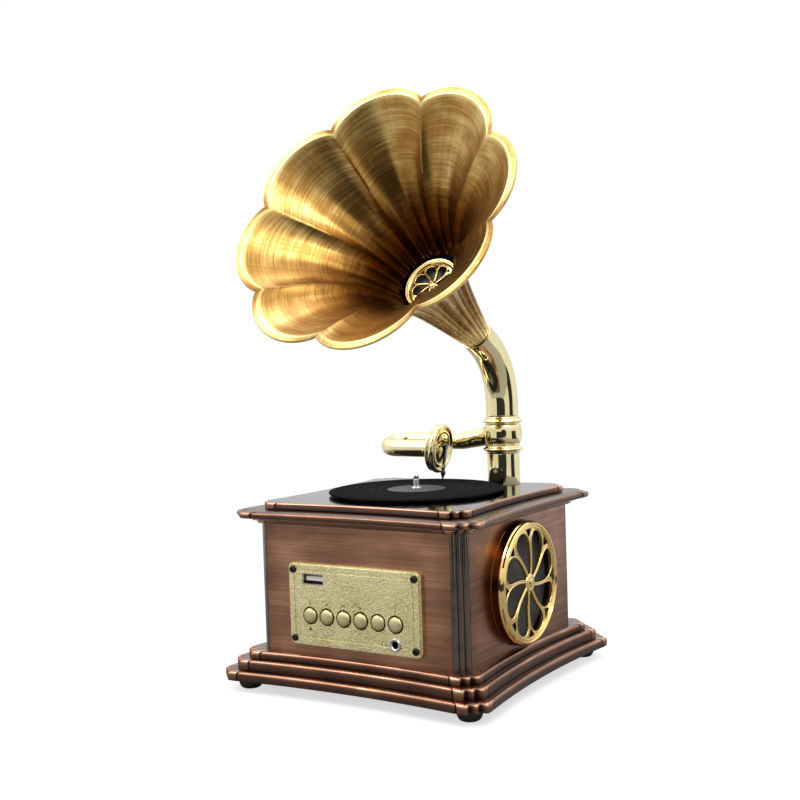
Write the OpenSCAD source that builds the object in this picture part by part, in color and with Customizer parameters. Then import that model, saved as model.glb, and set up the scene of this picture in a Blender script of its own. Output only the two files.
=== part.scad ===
// Tabletop horn phonograph with a loudspeaker cabinet.
// Units are millimetres. +Z is up, the front of the cabinet faces -Y, and the floor is z = 0.
// The drawing is made about the cabinet's own centre line, then place() moves every part so
// that the frame's origin is under the middle of the whole object's bounding box.

/* [Cabinet] */
// Half width of the cabinet body
body_half = 62.4; // [60:0.1:64]
// Size of the corner posts measured along a side
post_size = 6.8; // [6:0.1:8]
// Thickness of the body panels
panel_t = 4; // [3:0.5:5]
// Half width of the bottom tier of the plinth
tier1_half = 79.2; // [76:0.1:82]
// Half width of the middle tier of the plinth
tier2_half = 74.5; // [72:0.1:76]
// Half width of the top tier of the plinth
tier3_half = 69.9; // [67:0.1:71]
// How far each tier's side curves in at its middle
side_bow = 4.2; // [2:0.1:4.5]
// Half width of the crown moulding
crown_half = 73.4; // [71:0.1:76]
// Half width of the deck plate
deck_half = 62; // [60:0.1:64]

/* [Record player] */
// Radius of the record
record_r = 47.8; // [46:0.1:48]
// Thickness of the record
record_t = 1.2; // [1:0.1:1.4]
// Radius of the spindle
spindle_r = 1.5; // [1.4:0.05:1.6]
// Teeth on the gear under the platter
gear_teeth = 60; // [60:60]
// Teeth on the motor's pinion
pinion_teeth = 12; // [12:12]

/* [Horn] */
// Length of the horn from its neck to the notches of its rim
horn_len = 116.2; // [112:0.2:120]
// Radius of the rim at a notch between two petals
notch_r = 67.6; // [65:0.1:70]
// Radius of the rim at the middle of a petal
petal_r = 75.8; // [73:0.1:77]
// Number of petals
petals = 8; // [8:8]
// Angle of the horn's axis above level
horn_rise = 30.2; // [28:0.1:32]
// Wall of the horn
horn_wall = 1; // [0.9:0.05:1.2]

/* [Controls] */
// Radius of a push button's cap
button_r = 3.9; // [3.6:0.05:4]
// Pitch of the row of buttons
button_pitch = 10.35; // [10.2:0.05:10.5]
// Radius of the audio socket's hole
aux_r = 1.8; // [1.78:0.01:1.85]

/* [View] */
// Part to show

/* [Hidden] */
$fn = 64;

// cabinet centre line in the part's frame
cab_x = -11.9;
cab_y = 19.8;

// levels
foot_h = 6;
z1 = 11;
z2 = 16.4;
z3 = 20.5;
z4 = 87.9;
z5 = 94.7;
z6 = 98.4;
platter_z = 98.9;
record_z = 99.5;
record_top = record_z + record_t;

// pillar, collar and elbow
pillar_x = 28;
pillar_y = 50;
pillar_r = 9.15;
spigot_r = 7.5;
collar_z0 = 116.4;
collar_z1 = 137;
bend_z = 143.6;
bend_r = 40;
bend_a = 90 - horn_rise;
bend_end_y = pillar_y - bend_r * (1 - cos(bend_a));
bend_end_z = bend_z + bend_r * sin(bend_a);
elbow_tail = 11.3;
neck_y = bend_end_y - elbow_tail * cos(horn_rise);
neck_z = bend_end_z + elbow_tail * sin(horn_rise);

// tonearm
arm_z = 122.5;
near_z = 119.5;
near_y = 30.9;
loop_x = -31;
tube_r = 4.8;
loop_r = norm([pillar_y - near_y, arm_z - near_z]) / 2;
loop_tilt = atan2(arm_z - near_z, pillar_y - near_y);
box_x = 0.4;
box_y = near_y;
box_z = near_z;
box_r = 14;
box_yaw = 4.5;
box_dip = 8;

// side grilles
grille_y = -3;
grille_z = 54.4;
grille_r = 32.3;

// control plate
plate_y = -body_half - 2.9;
button_z = 41.6;
button_x0 = -26.4;

module place() {
    translate([cab_x, cab_y, 0]) children();
}

// a point about the horn's own axis: z along the axis from the neck, x to the cabinet's right
module on_horn() {
    place() translate([pillar_x, neck_y, neck_z]) rotate([90 - horn_rise, 0, 0]) children();
}

// a point about the sound box: z out of its face
module on_box() {
    place() translate([box_x, box_y, box_z]) rotate([0, 0, box_yaw]) rotate([0, 90 + box_dip, 0])
        children();
}

// things on the front face, drawn with z pointing out of the front
module on_front(x, z, y = -body_half) {
    place() translate([x, y, z]) rotate([90, 0, 0]) children();
}

// things on a side face: side is 1 for the right, -1 for the left, z points outwards
module on_side(side, y = grille_y, z = grille_z) {
    place() translate([side * body_half, y, z]) rotate([0, side * 90, 0]) children();
}

// a square outline whose corners are cut and carry three small lobes, with curved-in sides
module lobed_square(half, cut, bow) {
    reach = half - cut;
    arc_r = (reach * reach + bow * bow) / (2 * bow);
    lobe = cut * 0.3;
    difference() {
        square(2 * half - 0.02, center = true);
        for (a = [0:90:270]) rotate(a) {
            translate([half - bow + arc_r, 0]) circle(r = arc_r, $fn = 400);
            translate([half, half]) rotate(45) square([cut * 1.75, cut * 3], center = true);
        }
    }
    for (a = [0:90:270]) rotate(a) {
        for (s = [-1, 0, 1]) translate([half - lobe - cut * (0.34 - 0.34 * s),
            half - lobe - cut * (0.34 + 0.34 * s)]) {
            rounded_square(2 * lobe, lobe * 0.35);
        }
        translate([reach - cut * 0.6, reach - cut * 0.6]) square(cut * 1.2);
    }
}

module rounded_square(side, r) {
    square([side, side - 2 * r], center = true);
    square([side - 2 * r, side], center = true);
    for (x = [-1, 1], y = [-1, 1]) translate([x * (side / 2 - r), y * (side / 2 - r)])
        circle(r = r, $fn = 24);
}

module rounded_plate(w, h, r) {
    square([w, h - 2 * r], center = true);
    square([w - 2 * r, h], center = true);
    for (x = [-1, 1], y = [-1, 1]) translate([x * (w / 2 - r), y * (h / 2 - r)])
        circle(r = r, $fn = 32);
}

// one plinth tier with a softened top edge
module tier(half, cut, low, high, hole) {
    difference() {
        union() {
            translate([0, 0, low]) linear_extrude(high - low - 1)
                lobed_square(half, cut, side_bow);
            translate([0, 0, high - 1]) linear_extrude(1)
                lobed_square(half - 0.8, cut, side_bow);
        }
        translate([0, 0, (low + high) / 2])
            cube([2 * hole, 2 * hole, high - low + 2], center = true);
    }
}

// ---------- base ----------

foot_at = 66.3;

module each_foot() {
    for (x = [-1, 1], y = [-1, 1]) translate([x * foot_at, y * foot_at, 0]) children();
}

module feet() {
    color("#161616") place() each_foot() difference() {
        rotate_extrude() polygon(concat([[0, 0], [3.6, 0]],
            [for (a = [15:15:90]) [3.6 + 2.8 * sin(a), 4 - 4 * cos(a)]],
            [[6.4, 6], [0, 6]]));
        translate([0, 0, -1]) cylinder(r = 1.3, h = 9);
        translate([0, 0, -1]) cylinder(r = 2.6, h = 3);
    }
}

module foot_screws() {
    color("#8d8f92") place() each_foot() {
        translate([0, 0, 1]) cylinder(r = 2.3, h = 1);
        translate([0, 0, 1.5]) cylinder(r = 1.25, h = 8);
    }
}

module bottom_cover() {
    color("#2a2522") place() difference() {
        union() {
            translate([-52, -52, 6]) cube([104, 104, 2]);
            for (x = [-1, 1], y = [-1, 1]) translate([x * 32, y * 18, 7.5]) cylinder(r = 3, h = 4.5);
        }
        for (x = [-1, 1], y = [-1, 1]) translate([x * 49.8, y * 49.8, 5]) cylinder(r = 1.6, h = 4);
        for (i = [-4:4]) translate([i * 6 - 1.25, -40, 5]) cube([2.5, 22, 4]);
    }
}

module cover_screws() {
    color("#3a3a3c") place() for (x = [-1, 1], y = [-1, 1]) translate([x * 49.8, y * 49.8, 0]) {
        translate([0, 0, 4.9]) cylinder(r = 2.6, h = 1.1);
        translate([0, 0, 5.5]) cylinder(r = 1.3, h = 5);
    }
}

module plinth_lower() {
    color("#7a4a38") difference() {
        place() tier(tier1_half, 10.8, foot_h, z1, 48);
        place() translate([-52.1, -52.1, 5]) cube([104.2, 104.2, 3]);
        place() each_foot() translate([0, 0, 5]) cylinder(r = 1.25, h = 5);
        place() for (x = [-1, 1], y = [-1, 1]) translate([x * 49.8, y * 49.8, 7])
            cylinder(r = 1.3, h = 3.6);
    }
}

module plinth_middle() {
    color("#7a4a38") place() tier(tier2_half, 10.4, z1, z2, 48);
}

module plinth_upper() {
    color("#7a4a38") place() tier(tier3_half, 10.1, z2, z3, 50);
}

// ---------- body ----------

panel_half = body_half - post_size;

module wall_blank() {
    translate([-panel_half, -body_half, z3]) cube([2 * panel_half, panel_t, z4 - z3]);
}

module front_panel() {
    color("#8a5340") difference() {
        place() wall_blank();
        place() translate([-33, -body_half - 1, 27.3]) cube([66, panel_t + 2, 38.7]);
        for (x = [-1, 1], z = [29.3, 65]) on_front(x * 36.7, z) translate([0, 0, -panel_t - 1])
            cylinder(r = 1.2, h = panel_t + 2);
    }
}

module back_panel() {
    color("#8a5340") place() difference() {
        rotate(180) wall_blank();
        translate([22, body_half, 34]) rotate([90, 0, 0]) translate([0, 0, -1])
            cylinder(r = 5.6, h = panel_t + 2);
        translate([-27.5, body_half - panel_t - 1, 31.25]) cube([13.4, panel_t + 2, 5.5]);
    }
}

module side_wall(side) {
    difference() {
        place() rotate(side * 90) wall_blank();
        on_side(side) translate([0, 0, -panel_t - 1]) cylinder(r = 26.5, h = panel_t + 2, $fn = 96);
        for (a = [45:90:315]) on_side(side) rotate(a) translate([31, 0, -panel_t - 1])
            cylinder(r = 1.2, h = panel_t + 2);
    }
}

module right_panel() {
    color("#8a5340") side_wall(1);
}

module left_panel() {
    color("#8a5340") side_wall(-1);
}

module corner_posts() {
    bead = post_size * 0.27;
    color("#4a3a33") place() for (a = [0:90:270]) rotate(a) translate([0, 0, z3])
        linear_extrude(z4 - z3) difference() {
            union() {
                translate([panel_half, panel_half]) polygon([[0, 0], [post_size - 0.4, 0],
                    [0, post_size - 0.4]]);
                for (s = [-1, 0, 1]) translate([body_half - bead - post_size * (0.31 - 0.31 * s),
                    body_half - bead - post_size * (0.31 + 0.31 * s)]) circle(r = bead, $fn = 40);
                translate([panel_half - 3.4, panel_half - 3.4]) square(3.42);
            }
            translate([0, body_half - panel_t - 0.01]) square([panel_half, 10]);
            translate([body_half - panel_t - 0.01, 0]) square([10, panel_half]);
        }
}

module crown_moulding() {
    color("#7a4a38") place() difference() {
        union() {
            translate([0, 0, z4]) linear_extrude(1.6) lobed_square(65, 8.6, 0.9);
            translate([0, 0, z4 + 1.5]) linear_extrude(1.7) lobed_square(67.6, 10, 2);
            translate([0, 0, z4 + 3.1]) linear_extrude(2.9) lobed_square(crown_half, 12.6, 3.6);
            translate([0, 0, z5 - 0.8]) linear_extrude(0.8)
                lobed_square(crown_half - 0.7, 12.6, 3.6);
        }
        translate([-40, -40, z4 - 1]) cube([80, 80, z5 - z4 + 2]);
        translate([pillar_x, pillar_y, z4 - 1]) cylinder(r = 6.1, h = 9);
    }
}

module deck_plate() {
    color("#6e4232") place() difference() {
        union() {
            translate([0, 0, z5]) linear_extrude(z6 - z5 - 0.8) lobed_square(deck_half, 10, 3);
            translate([0, 0, z6 - 0.81]) linear_extrude(0.81)
                lobed_square(deck_half - 0.7, 10, 3);
        }
        translate([0, 0, z5 - 1]) cylinder(r = 4, h = 6);
        translate([pillar_x, pillar_y, z5 - 1]) cylinder(r = 6.1, h = 6);
    }
}

// ---------- control panel ----------

module control_plate() {
    color("#b99a58") difference() {
        union() {
            on_front(0, 47.25) linear_extrude(1.9) rounded_plate(80, 42.6, 3.2);
            on_front(0, 47.25) translate([0, 0, 1.8]) linear_extrude(1.1)
                rounded_plate(78.2, 40.8, 2.6);
        }
        on_front(0, 47.25) translate([0, 0, 2.6]) linear_extrude(1) difference() {
            rounded_plate(72.4, 35, 2);
            rounded_plate(71.2, 33.8, 1.6);
        }
        for (i = [0:5]) on_front(button_x0 + i * button_pitch, button_z) translate([0, 0, -1])
            cylinder(r = button_r + 0.3, h = 5);
        on_front(-24.2, 60.5) translate([-6.6, -2.95, -1]) cube([13.2, 5.9, 5]);
        on_front(24.8, 31.4) translate([0, 0, -1]) cylinder(r = 3.05, h = 5);
        on_front(-26.6, 34.6) translate([0, 0, -1]) cylinder(r = 0.85, h = 5);
        for (x = [-1, 1], z = [29.3, 65]) on_front(x * 36.7, z) translate([0, 0, -1])
            cylinder(r = 1.3, h = 5);
    }
}

module plate_screws() {
    color("#1c1b1a") for (x = [-1, 1], z = [29.3, 65]) on_front(x * 36.7, z) {
        difference() {
            translate([0, 0, 2.9]) rotate_extrude() polygon([[0, 0], [2, 0], [1.8, 0.7],
                [1.2, 1.05], [0, 1.15]]);
            translate([-1.2, -0.22, 3.6]) cube([2.4, 0.44, 1]);
            translate([-0.22, -1.2, 3.6]) cube([0.44, 2.4, 1]);
        }
        translate([0, 0, -3.5]) cylinder(r = 1.2, h = 6.5);
    }
}

// one button: domed cap, a flange behind the plate and a stem to its switch
module button(i) {
    color("#cdb06a") on_front(button_x0 + (i - 1) * button_pitch, button_z) {
        rotate_extrude() polygon([[0, -1.3], [1.5, -1.3], [1.5, -1], [4.7, -1], [4.7, -0.2],
            [button_r, -0.2], [button_r, 4], [button_r - 0.35, 4.45], [button_r - 0.9, 4.6],
            [button_r - 1.5, 4.35], [1.2, 4.15], [0, 4.1]]);
    }
}

module button_1() {
    button(1);
}

module button_2() {
    button(2);
}

module button_3() {
    button(3);
}

module button_4() {
    button(4);
}

module button_5() {
    button(5);
}

module button_6() {
    button(6);
}

module control_board() {
    color("#1f5a34") difference() {
        union() {
            on_front(0, 46.75) translate([-36, -22.5, -panel_t - 1.6]) cube([72, 45, 1.6]);
            for (i = [0:5]) on_front(button_x0 + i * button_pitch, button_z) {
                translate([-3, -3, -panel_t - 0.1]) cube([6, 6, 1.6]);
                translate([0, 0, -panel_t + 1.4]) cylinder(r = 1.3, h = 0.5);
            }
        }
        on_front(-24.2, 60.5) translate([-6.7, -3.05, -panel_t - 3]) cube([13.4, 6.1, 6]);
        on_front(24.8, 31.4) translate([0, 0, -panel_t - 3]) cylinder(r = 3.1, h = 6);
        for (x = [-1, 1], z = [29.3, 65]) on_front(x * 36.7, z) translate([0, 0, -panel_t - 3])
            cylinder(r = 2, h = 6);
    }
}

module usb_socket() {
    color("#c9cbcd") on_front(-24.2, 60.5) {
        difference() {
            translate([-6.55, -2.9, -11]) cube([13.1, 5.8, 13.7]);
            translate([-6.15, -2.5, -10.4]) cube([12.3, 5, 14]);
        }
        translate([-5.4, 0.4, -10.6]) cube([10.8, 1.8, 8.9]);
    }
}

module aux_jack() {
    color("#d4d5d6") on_front(24.8, 31.4) difference() {
        rotate_extrude() polygon([[aux_r, -10], [3, -10], [3, 2.9], [3.45, 2.9], [3.45, 3.4],
            [3.15, 3.8], [aux_r, 3.8]]);
    }
}

module indicator() {
    color("#3a2f20") on_front(-26.6, 34.6) translate([0, 0, -panel_t]) cylinder(r = 0.8,
        h = panel_t + 2.75);
}

// ---------- side speakers ----------

// half width of one leaf-shaped opening at a distance r from the middle
function leaf_half(r, inner, outer, bar) = max(0.05, (r * sin(180 / 8) - bar / 2)
    * pow(max(0, 1 - pow((r - inner) / (outer - inner), 6)), 0.5));

function leaf_point(r, side, inner, outer, bar, swirl) = let(
    t = (r - inner) / (outer - inner),
    a = 22.5 - swirl * (1 - t) + side * asin(min(1, leaf_half(r, inner, outer, bar) / r)))
    [r * cos(a), r * sin(a)];

module leaf(inner, outer, bar, swirl) {
    rs = [for (i = [0:15]) inner + (outer - inner) * sin(90 * i / 15)];
    polygon(concat([for (r = rs) leaf_point(r, 1, inner, outer, bar, swirl)],
        [for (i = [14:-1:0]) leaf_point(rs[i], -1, inner, outer, bar, swirl)]));
}

module lattice_holes(inner, outer, bar, swirl) {
    for (k = [0:7]) rotate(45 * k) {
        leaf(inner, outer, bar, swirl);
        polygon([[outer * 0.84, 0], [outer * 1.01, -outer * 0.125],
            [outer * 1.01, outer * 0.125]]);
    }
}

module grille(side) {
    color("#d8b45c") on_side(side) difference() {
        union() {
            rotate_extrude($fn = 96) polygon([[29.8, 0], [grille_r + 0.3, 0],
                [grille_r + 0.3, 0.5], [grille_r, 0.8], [grille_r, 4.9], [31.8, 5.6],
                [31.6, 6.5], [31, 7.3], [30.2, 7.5], [29.7, 6.8], [29.1, 6.9], [28.4, 6.3],
                [28.4, 4.7], [29.8, 4.7]]);
            translate([0, 0, 4.7]) linear_extrude(1.6) difference() {
                circle(r = 28.8, $fn = 96);
                mirror([side > 0 ? 0 : 1, 0]) lattice_holes(4.6, 27.8, 1.7, 16);
            }
            translate([0, 0, 4.7]) rotate_extrude() polygon([[0, 0], [4, 0], [4, 1.9],
                [2.6, 2.4], [1.4, 3], [0, 3.1]]);
        }
    }
}

module grille_right() {
    grille(1);
}

module grille_left() {
    grille(-1);
}

module cloth(side) {
    color("#121110") on_side(side) translate([0, 0, 0.4]) cylinder(r = 29.4, h = 0.8, $fn = 96);
}

module cloth_right() {
    cloth(1);
}

module cloth_left() {
    cloth(-1);
}

module basket(side) {
    color("#3c3e40") on_side(side) rotate_extrude($fn = 72) polygon([[25.2, -4], [33.2, -4],
        [33.2, -5.2], [25.4, -5.2], [15.5, -13], [14, -13], [14, -14.6], [15, -14.6], [15, -22],
        [0, -22], [0, -14.2], [9.2, -14.2], [9.2, -12.2], [14.5, -12.2], [25.2, -4.8]]);
}

module basket_right() {
    difference() {
        basket(1);
        for (a = [45:90:315]) on_side(1) rotate(a) translate([31, 0, -8]) cylinder(r = 1.2, h = 8);
    }
}

module basket_left() {
    difference() {
        basket(-1);
        for (a = [45:90:315]) on_side(-1) rotate(a) translate([31, 0, -8]) cylinder(r = 1.2, h = 8);
    }
}

module cone(side) {
    color("#22201e") on_side(side) rotate_extrude($fn = 72) polygon([[0, -8.4], [4, -8.9],
        [7, -10.6], [20.6, -4.2], [21.4, -3.3], [23, -3], [24.6, -3.3], [25, -4], [25, -4.6],
        [24.2, -4.6], [23, -4.1], [21.8, -4.4], [21, -5.1], [7.6, -11.6], [7.6, -13.6],
        [6.9, -13.6], [6.9, -11.5], [4, -9.7], [0, -9.1]]);
}

module cone_right() {
    cone(1);
}

module cone_left() {
    cone(-1);
}

module speaker_screws() {
    color("#77797c") for (side = [-1, 1], a = [45:90:315]) on_side(side) rotate(a)
        translate([31, 0, 0]) {
            translate([0, 0, -6.2]) cylinder(r = 2.2, h = 1);
            translate([0, 0, -5.3]) cylinder(r = 1.2, h = 5.2);
        }
}

// ---------- turntable ----------

// one straight-cut gear outline with involute flanks
function inv_pt(rb, a) = rb * [cos(a) + a * PI / 180 * sin(a), sin(a) - a * PI / 180 * cos(a)];

function flank(rb, ro, n) = let(top = sqrt(max(0, ro * ro / (rb * rb) - 1)) * 180 / PI)
    [for (i = [0:n]) inv_pt(rb, top * i / n)];

function turned(p, a) = [p[0] * cos(a) - p[1] * sin(a), p[0] * sin(a) + p[1] * cos(a)];

function tooth(m, n, slack) = let(rp = m * n / 2, rb = rp * cos(20), ro = rp + m,
    pa = sqrt(rp * rp / (rb * rb) - 1) * 180 / PI,
    shift = pa - 20, half = 90 / n - slack / rp * 90 / PI,
    side = [for (p = flank(rb, ro, 3)) turned(p, -shift - half)])
    concat(side, [for (i = [3:-1:0]) [side[i][0], -side[i][1]]]);

module gear_outline(m, n, slack) {
    rr = m * n / 2 - 1.2 * m;
    union() {
        circle(r = rr, $fn = 80);
        for (k = [0:n - 1]) rotate(360 * k / n) {
            polygon(tooth(m, n, slack));
            translate([0, -m * 0.6]) square([m * n / 2 * cos(20) + 0.05, m * 1.2]);
        }
    }
}

gear_m = 0.6;
gear_gap = gear_m * (gear_teeth + pinion_teeth) / 2;

module platter_gear() {
    color("#e3dfd2") place() difference() {
        union() {
            translate([0, 0, 82.5]) linear_extrude(3) gear_outline(gear_m, gear_teeth, 0.1);
            translate([0, 0, 81]) cylinder(r = 4.5, h = 7);
        }
        translate([0, 0, 80]) cylinder(r = spindle_r, h = 9);
        for (a = [0:60:300]) rotate(a) translate([10.5, 0, 80]) cylinder(r = 3, h = 9);
    }
}

module motor_pinion() {
    color("#c8a24a") place() translate([0, gear_gap, 0]) difference() {
        translate([0, 0, 81.8]) linear_extrude(4.4) rotate(180 / pinion_teeth - 90)
            gear_outline(gear_m, pinion_teeth, 0.1);
        translate([0, 0, 80]) cylinder(r = 0.75, h = 9);
    }
}

module motor() {
    color("#9a9c9f") place() translate([0, gear_gap, 0]) {
        translate([0, 0, 58]) cylinder(r = 12, h = 21.4);
        translate([0, 0, 79.3]) cylinder(r = 3, h = 1.6);
        translate([0, 0, 80.8]) cylinder(r = 0.75, h = 5.2);
        for (s = [-1, 1]) translate([s * 4 - 0.4, -1.2, 54.5]) cube([0.8, 2.4, 4]);
    }
}

module motor_bracket() {
    color("#b7b9bb") place() difference() {
        union() {
            translate([-35, gear_gap - 8, 79.4]) cube([70, 16, 1.5]);
            for (s = [-1, 1]) {
                translate([s * 33.5 - 1.5, gear_gap - 8, 79.4]) cube([3, 16, z5 - 79.4]);
                translate([s * 30 - 5, gear_gap - 8, z5 - 1.5]) cube([10, 16, 1.5]);
            }
        }
        translate([0, gear_gap, 78]) cylinder(r = 3.05, h = 5);
    }
}

module spindle_bush() {
    color("#b08d3c") place() rotate_extrude() polygon([[spindle_r + 0.05, 89], [3.9, 89],
        [3.9, z5 - 1.4], [6.4, z5 - 1.4], [6.4, z5], [4, z5], [4, z6], [spindle_r + 0.05, z6]]);
}

module spindle() {
    color("#c9cbce") place() rotate_extrude() polygon([[0, 80], [spindle_r, 80],
        [spindle_r, record_top], [2.6, record_top], [2.6, record_top + 0.5],
        [spindle_r, record_top + 1.3], [spindle_r, record_top + 7.2],
        [spindle_r - 0.7, record_top + 7.9], [0, record_top + 7.9]]);
}

module platter() {
    color("#2a2a2b") place() difference() {
        translate([0, 0, platter_z]) cylinder(r = 40, h = record_z - platter_z, $fn = 96);
        translate([0, 0, platter_z - 1]) cylinder(r = spindle_r, h = 3);
    }
}

module record() {
    color("#0d0d0e") place() difference() {
        translate([0, 0, record_z]) rotate_extrude($fn = 128) polygon([[spindle_r, 0],
            [record_r - 0.5, 0], [record_r, 0.35], [record_r, record_t - 0.35],
            [record_r - 0.5, record_t], [16, record_t], [16, record_t - 0.25],
            [spindle_r, record_t - 0.25]]);
    }
}

module record_label() {
    color("#1a1817") place() difference() {
        translate([0, 0, record_top - 0.25]) cylinder(r = 15.9, h = 0.25, $fn = 96);
        translate([0, 0, record_top - 1]) cylinder(r = spindle_r, h = 3);
    }
}

// ---------- pillar and tonearm ----------

module pillar() {
    color("#d9bf72") place() translate([pillar_x, pillar_y, 0]) rotate_extrude() polygon([
        [3.5, 78], [6, 78], [6, z6], [pillar_r, z6], [pillar_r, collar_z0 - 0.1],
        [spigot_r, collar_z0 - 0.1], [spigot_r, bend_z - 0.6], [3.5, bend_z - 0.6]]);
}

module pillar_nut() {
    color("#a98c48") place() translate([pillar_x, pillar_y, z4 - 5]) difference() {
        cylinder(r = 8.4, h = 5, $fn = 6);
        translate([0, 0, -1]) cylinder(r = 6, h = 7);
    }
}

module tonearm_collar() {
    color("#dcc277") place() translate([pillar_x, pillar_y, 0]) rotate_extrude() polygon(concat([
        [spigot_r + 0.05, collar_z0], [9.7, collar_z0], [9.8, 117.6], [11.2, 118],
        [11.2, 119.2], [9.7, 119.8], [9.4, 121.2]],
        [for (a = [-80:16:80]) [9.4 + 1.6 * cos(a), 127.2 + 5.6 * sin(a)]],
        [[9.4, 133.1], [11.2, 133.7], [11.2, 134.9], [9.8, 135.4], [9.5, collar_z1],
        [spigot_r + 0.05, collar_z1]]));
}

module tonearm_tube() {
    reach = pillar_x - 2;
    fall = 127.2 - arm_z;
    color("#dcc277") place() {
        difference() {
            translate([2, pillar_y, arm_z]) rotate([0, atan2(reach, fall), 0])
                cylinder(r1 = tube_r, r2 = 5.7, h = norm([reach, fall]), $fn = 48);
            translate([pillar_x, pillar_y, 110]) cylinder(r = 10, h = 40);
        }
        translate([2, pillar_y, arm_z]) sphere(r = tube_r + 0.08, $fn = 48);
        translate([loop_x, pillar_y, arm_z]) rotate([0, 90, 0])
            cylinder(r = tube_r, h = 2 - loop_x, $fn = 48);
        translate([loop_x, (pillar_y + near_y) / 2, (arm_z + near_z) / 2])
            rotate([loop_tilt, 0, 0]) rotate(90) rotate_extrude(angle = 180, $fn = 48)
                translate([loop_r, 0]) circle(r = tube_r - 0.05, $fn = 48);
        translate([loop_x, near_y, near_z]) rotate([0, 90, 0])
            cylinder(r = tube_r, h = box_x - 9 - loop_x, $fn = 48);
    }
}

module sound_box() {
    color("#d8bc6e") {
        on_box() rotate_extrude($fn = 80) polygon(concat([[0, -6.4], [11.8, -6.4], [12.9, -6.1],
            [13.4, -5.5], [13.3, -4.9], [12.6, -4.3]],
            [for (a = [-72:18:90]) [box_r - 1.75 + 1.75 * cos(a), -2.4 + 1.8 * sin(a)]],
            [[11.6, -1.3], [11.2, -2], [0, -2]]));
        on_box() translate([0, 0, -7.4]) cylinder(r = 6, h = 1.6);
        place() translate([box_x - 8.4, near_y, near_z]) rotate([0, 90, 0])
            cylinder(r = 4.2, h = 4, $fn = 48);
    }
}

module sound_box_face() {
    color("#d2b566") on_box() rotate_extrude($fn = 72) polygon([[0, -2], [11, -2], [10.7, -1.2],
        [9.4, -0.8], [8.2, -1.3], [6.5, -0.6], [3, 0.2], [0, 0.4]]);
}

// in the sound box's frame +x points down the face, towards the record
module needle_lever() {
    color("#1b1917") on_box() {
        translate([-1.6, -1, 0.1]) cube([15.6, 2, 1.3]);
        translate([-1.6, 0, 0.1]) cylinder(r = 1.6, h = 1.6);
        translate([13.4, 0, 0.75]) sphere(r = 1.45, $fn = 32);
    }
}

module needle() {
    color("#b9bbbe") on_box() translate([13.4, 0, 0.75]) rotate([0, 90, 0])
        cylinder(r1 = 1.55, r2 = 0.3, h = 3.8, $fn = 32);
}

// ---------- elbow and horn ----------

module bend(r) {
    translate([0, -bend_r, bend_z]) rotate([90, 0, 90]) rotate_extrude(angle = bend_a, $fn = 96)
        translate([bend_r, 0]) circle(r = r, $fn = 48);
}

module elbow() {
    color("#dcc277") difference() {
        union() {
            place() translate([pillar_x, pillar_y, 0]) {
                translate([0, 0, collar_z1 + 0.2])
                    cylinder(r = pillar_r, h = bend_z - collar_z1 - 0.2);
                bend(pillar_r - 0.04);
            }
            on_horn() translate([0, 0, -elbow_tail]) cylinder(r = pillar_r, h = elbow_tail);
        }
        place() translate([pillar_x, pillar_y, 0]) {
            translate([0, 0, collar_z1 - 1])
                cylinder(r = spigot_r + 0.05, h = bend_z - collar_z1 + 1.2);
            bend(spigot_r - 1);
        }
        on_horn() translate([0, 0, -elbow_tail - 0.2]) cylinder(r = spigot_r, h = elbow_tail + 1);
    }
}

// inner radius of the bell along a crease, at a distance z from the neck
function crease_r(z) = 7.4 + 0.13 * z + (notch_r - 7.4 - 0.13 * horn_len)
    * pow(z / horn_len, 3.68);

function crease_slope(z) = 0.13 + 3.68 / horn_len * (notch_r - 7.4 - 0.13 * horn_len)
    * pow(z / horn_len, 2.68);

// 1 in the middle of a petal, 0 on the crease between two
function petal(q) = pow(max(0, 1 - pow(abs(q), 2.07)), 0.855);

function swell(t) = 0.75 * sin(180 * min(1, t * 1.4)) + (petal_r - notch_r) * pow(t, 2.6);

function flutes(q, t) = 0.55 * pow(max(0, sin(180 * pow(t, 0.7))), 1.5) * cos(540 * q);

// t runs from 0 at the neck to 1 at the rim, q from -1 to 1 across a petal, off is 0 or 1
function horn_point(t, a, off) = let(
    q = 2 * ((a / 45 + 100) % 1) - 1,
    z = horn_len * t,
    r = crease_r(z) + swell(t) * petal(q) + flutes(q, t),
    slope = crease_slope(z) * 1.12,
    k = 1 / sqrt(1 + slope * slope),
    zz = z + 1.5 * pow(t, 8) * petal(q) - off * horn_wall * slope * k,
    rr = r + off * horn_wall * k)
    [rr * cos(a + horn_turn), rr * sin(a + horn_turn), zz];

horn_turn = 81.3;
horn_cols = 80;
horn_rows = 24;

// rows are closer together towards the rim
function row_t(i) = 1 - pow(1 - i / horn_rows, 1.35);

module horn() {
    n = horn_cols;
    m = horn_rows + 1;
    inside = [for (i = [0:horn_rows]) for (j = [0:n - 1]) horn_point(row_t(i), j * 360 / n, 0)];
    outside = [for (i = [0:horn_rows]) for (j = [0:n - 1]) horn_point(row_t(i), j * 360 / n, 1)];
    s = n * m;
    walls = [for (i = [0:horn_rows - 1], j = [0:n - 1]) let(k = (j + 1) % n, a = i * n) each [
        [a + j, a + k, a + n + k], [a + j, a + n + k, a + n + j],
        [s + a + j, s + a + n + k, s + a + k], [s + a + j, s + a + n + j, s + a + n + k]]];
    ends = [for (j = [0:n - 1]) let(k = (j + 1) % n, a = horn_rows * n) each [
        [j, s + k, k], [j, s + j, s + k],
        [a + j, a + k, s + a + k], [a + j, s + a + k, s + a + j]]];
    color("#a97f35") on_horn() {
        polyhedron(points = concat(inside, outside), faces = concat(walls, ends), convexity = 6);
        difference() {
            translate([0, 0, -6]) cylinder(r = spigot_r, h = 6.6);
            translate([0, 0, -7]) cylinder(r = 6.4, h = 9);
        }
    }
}

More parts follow.
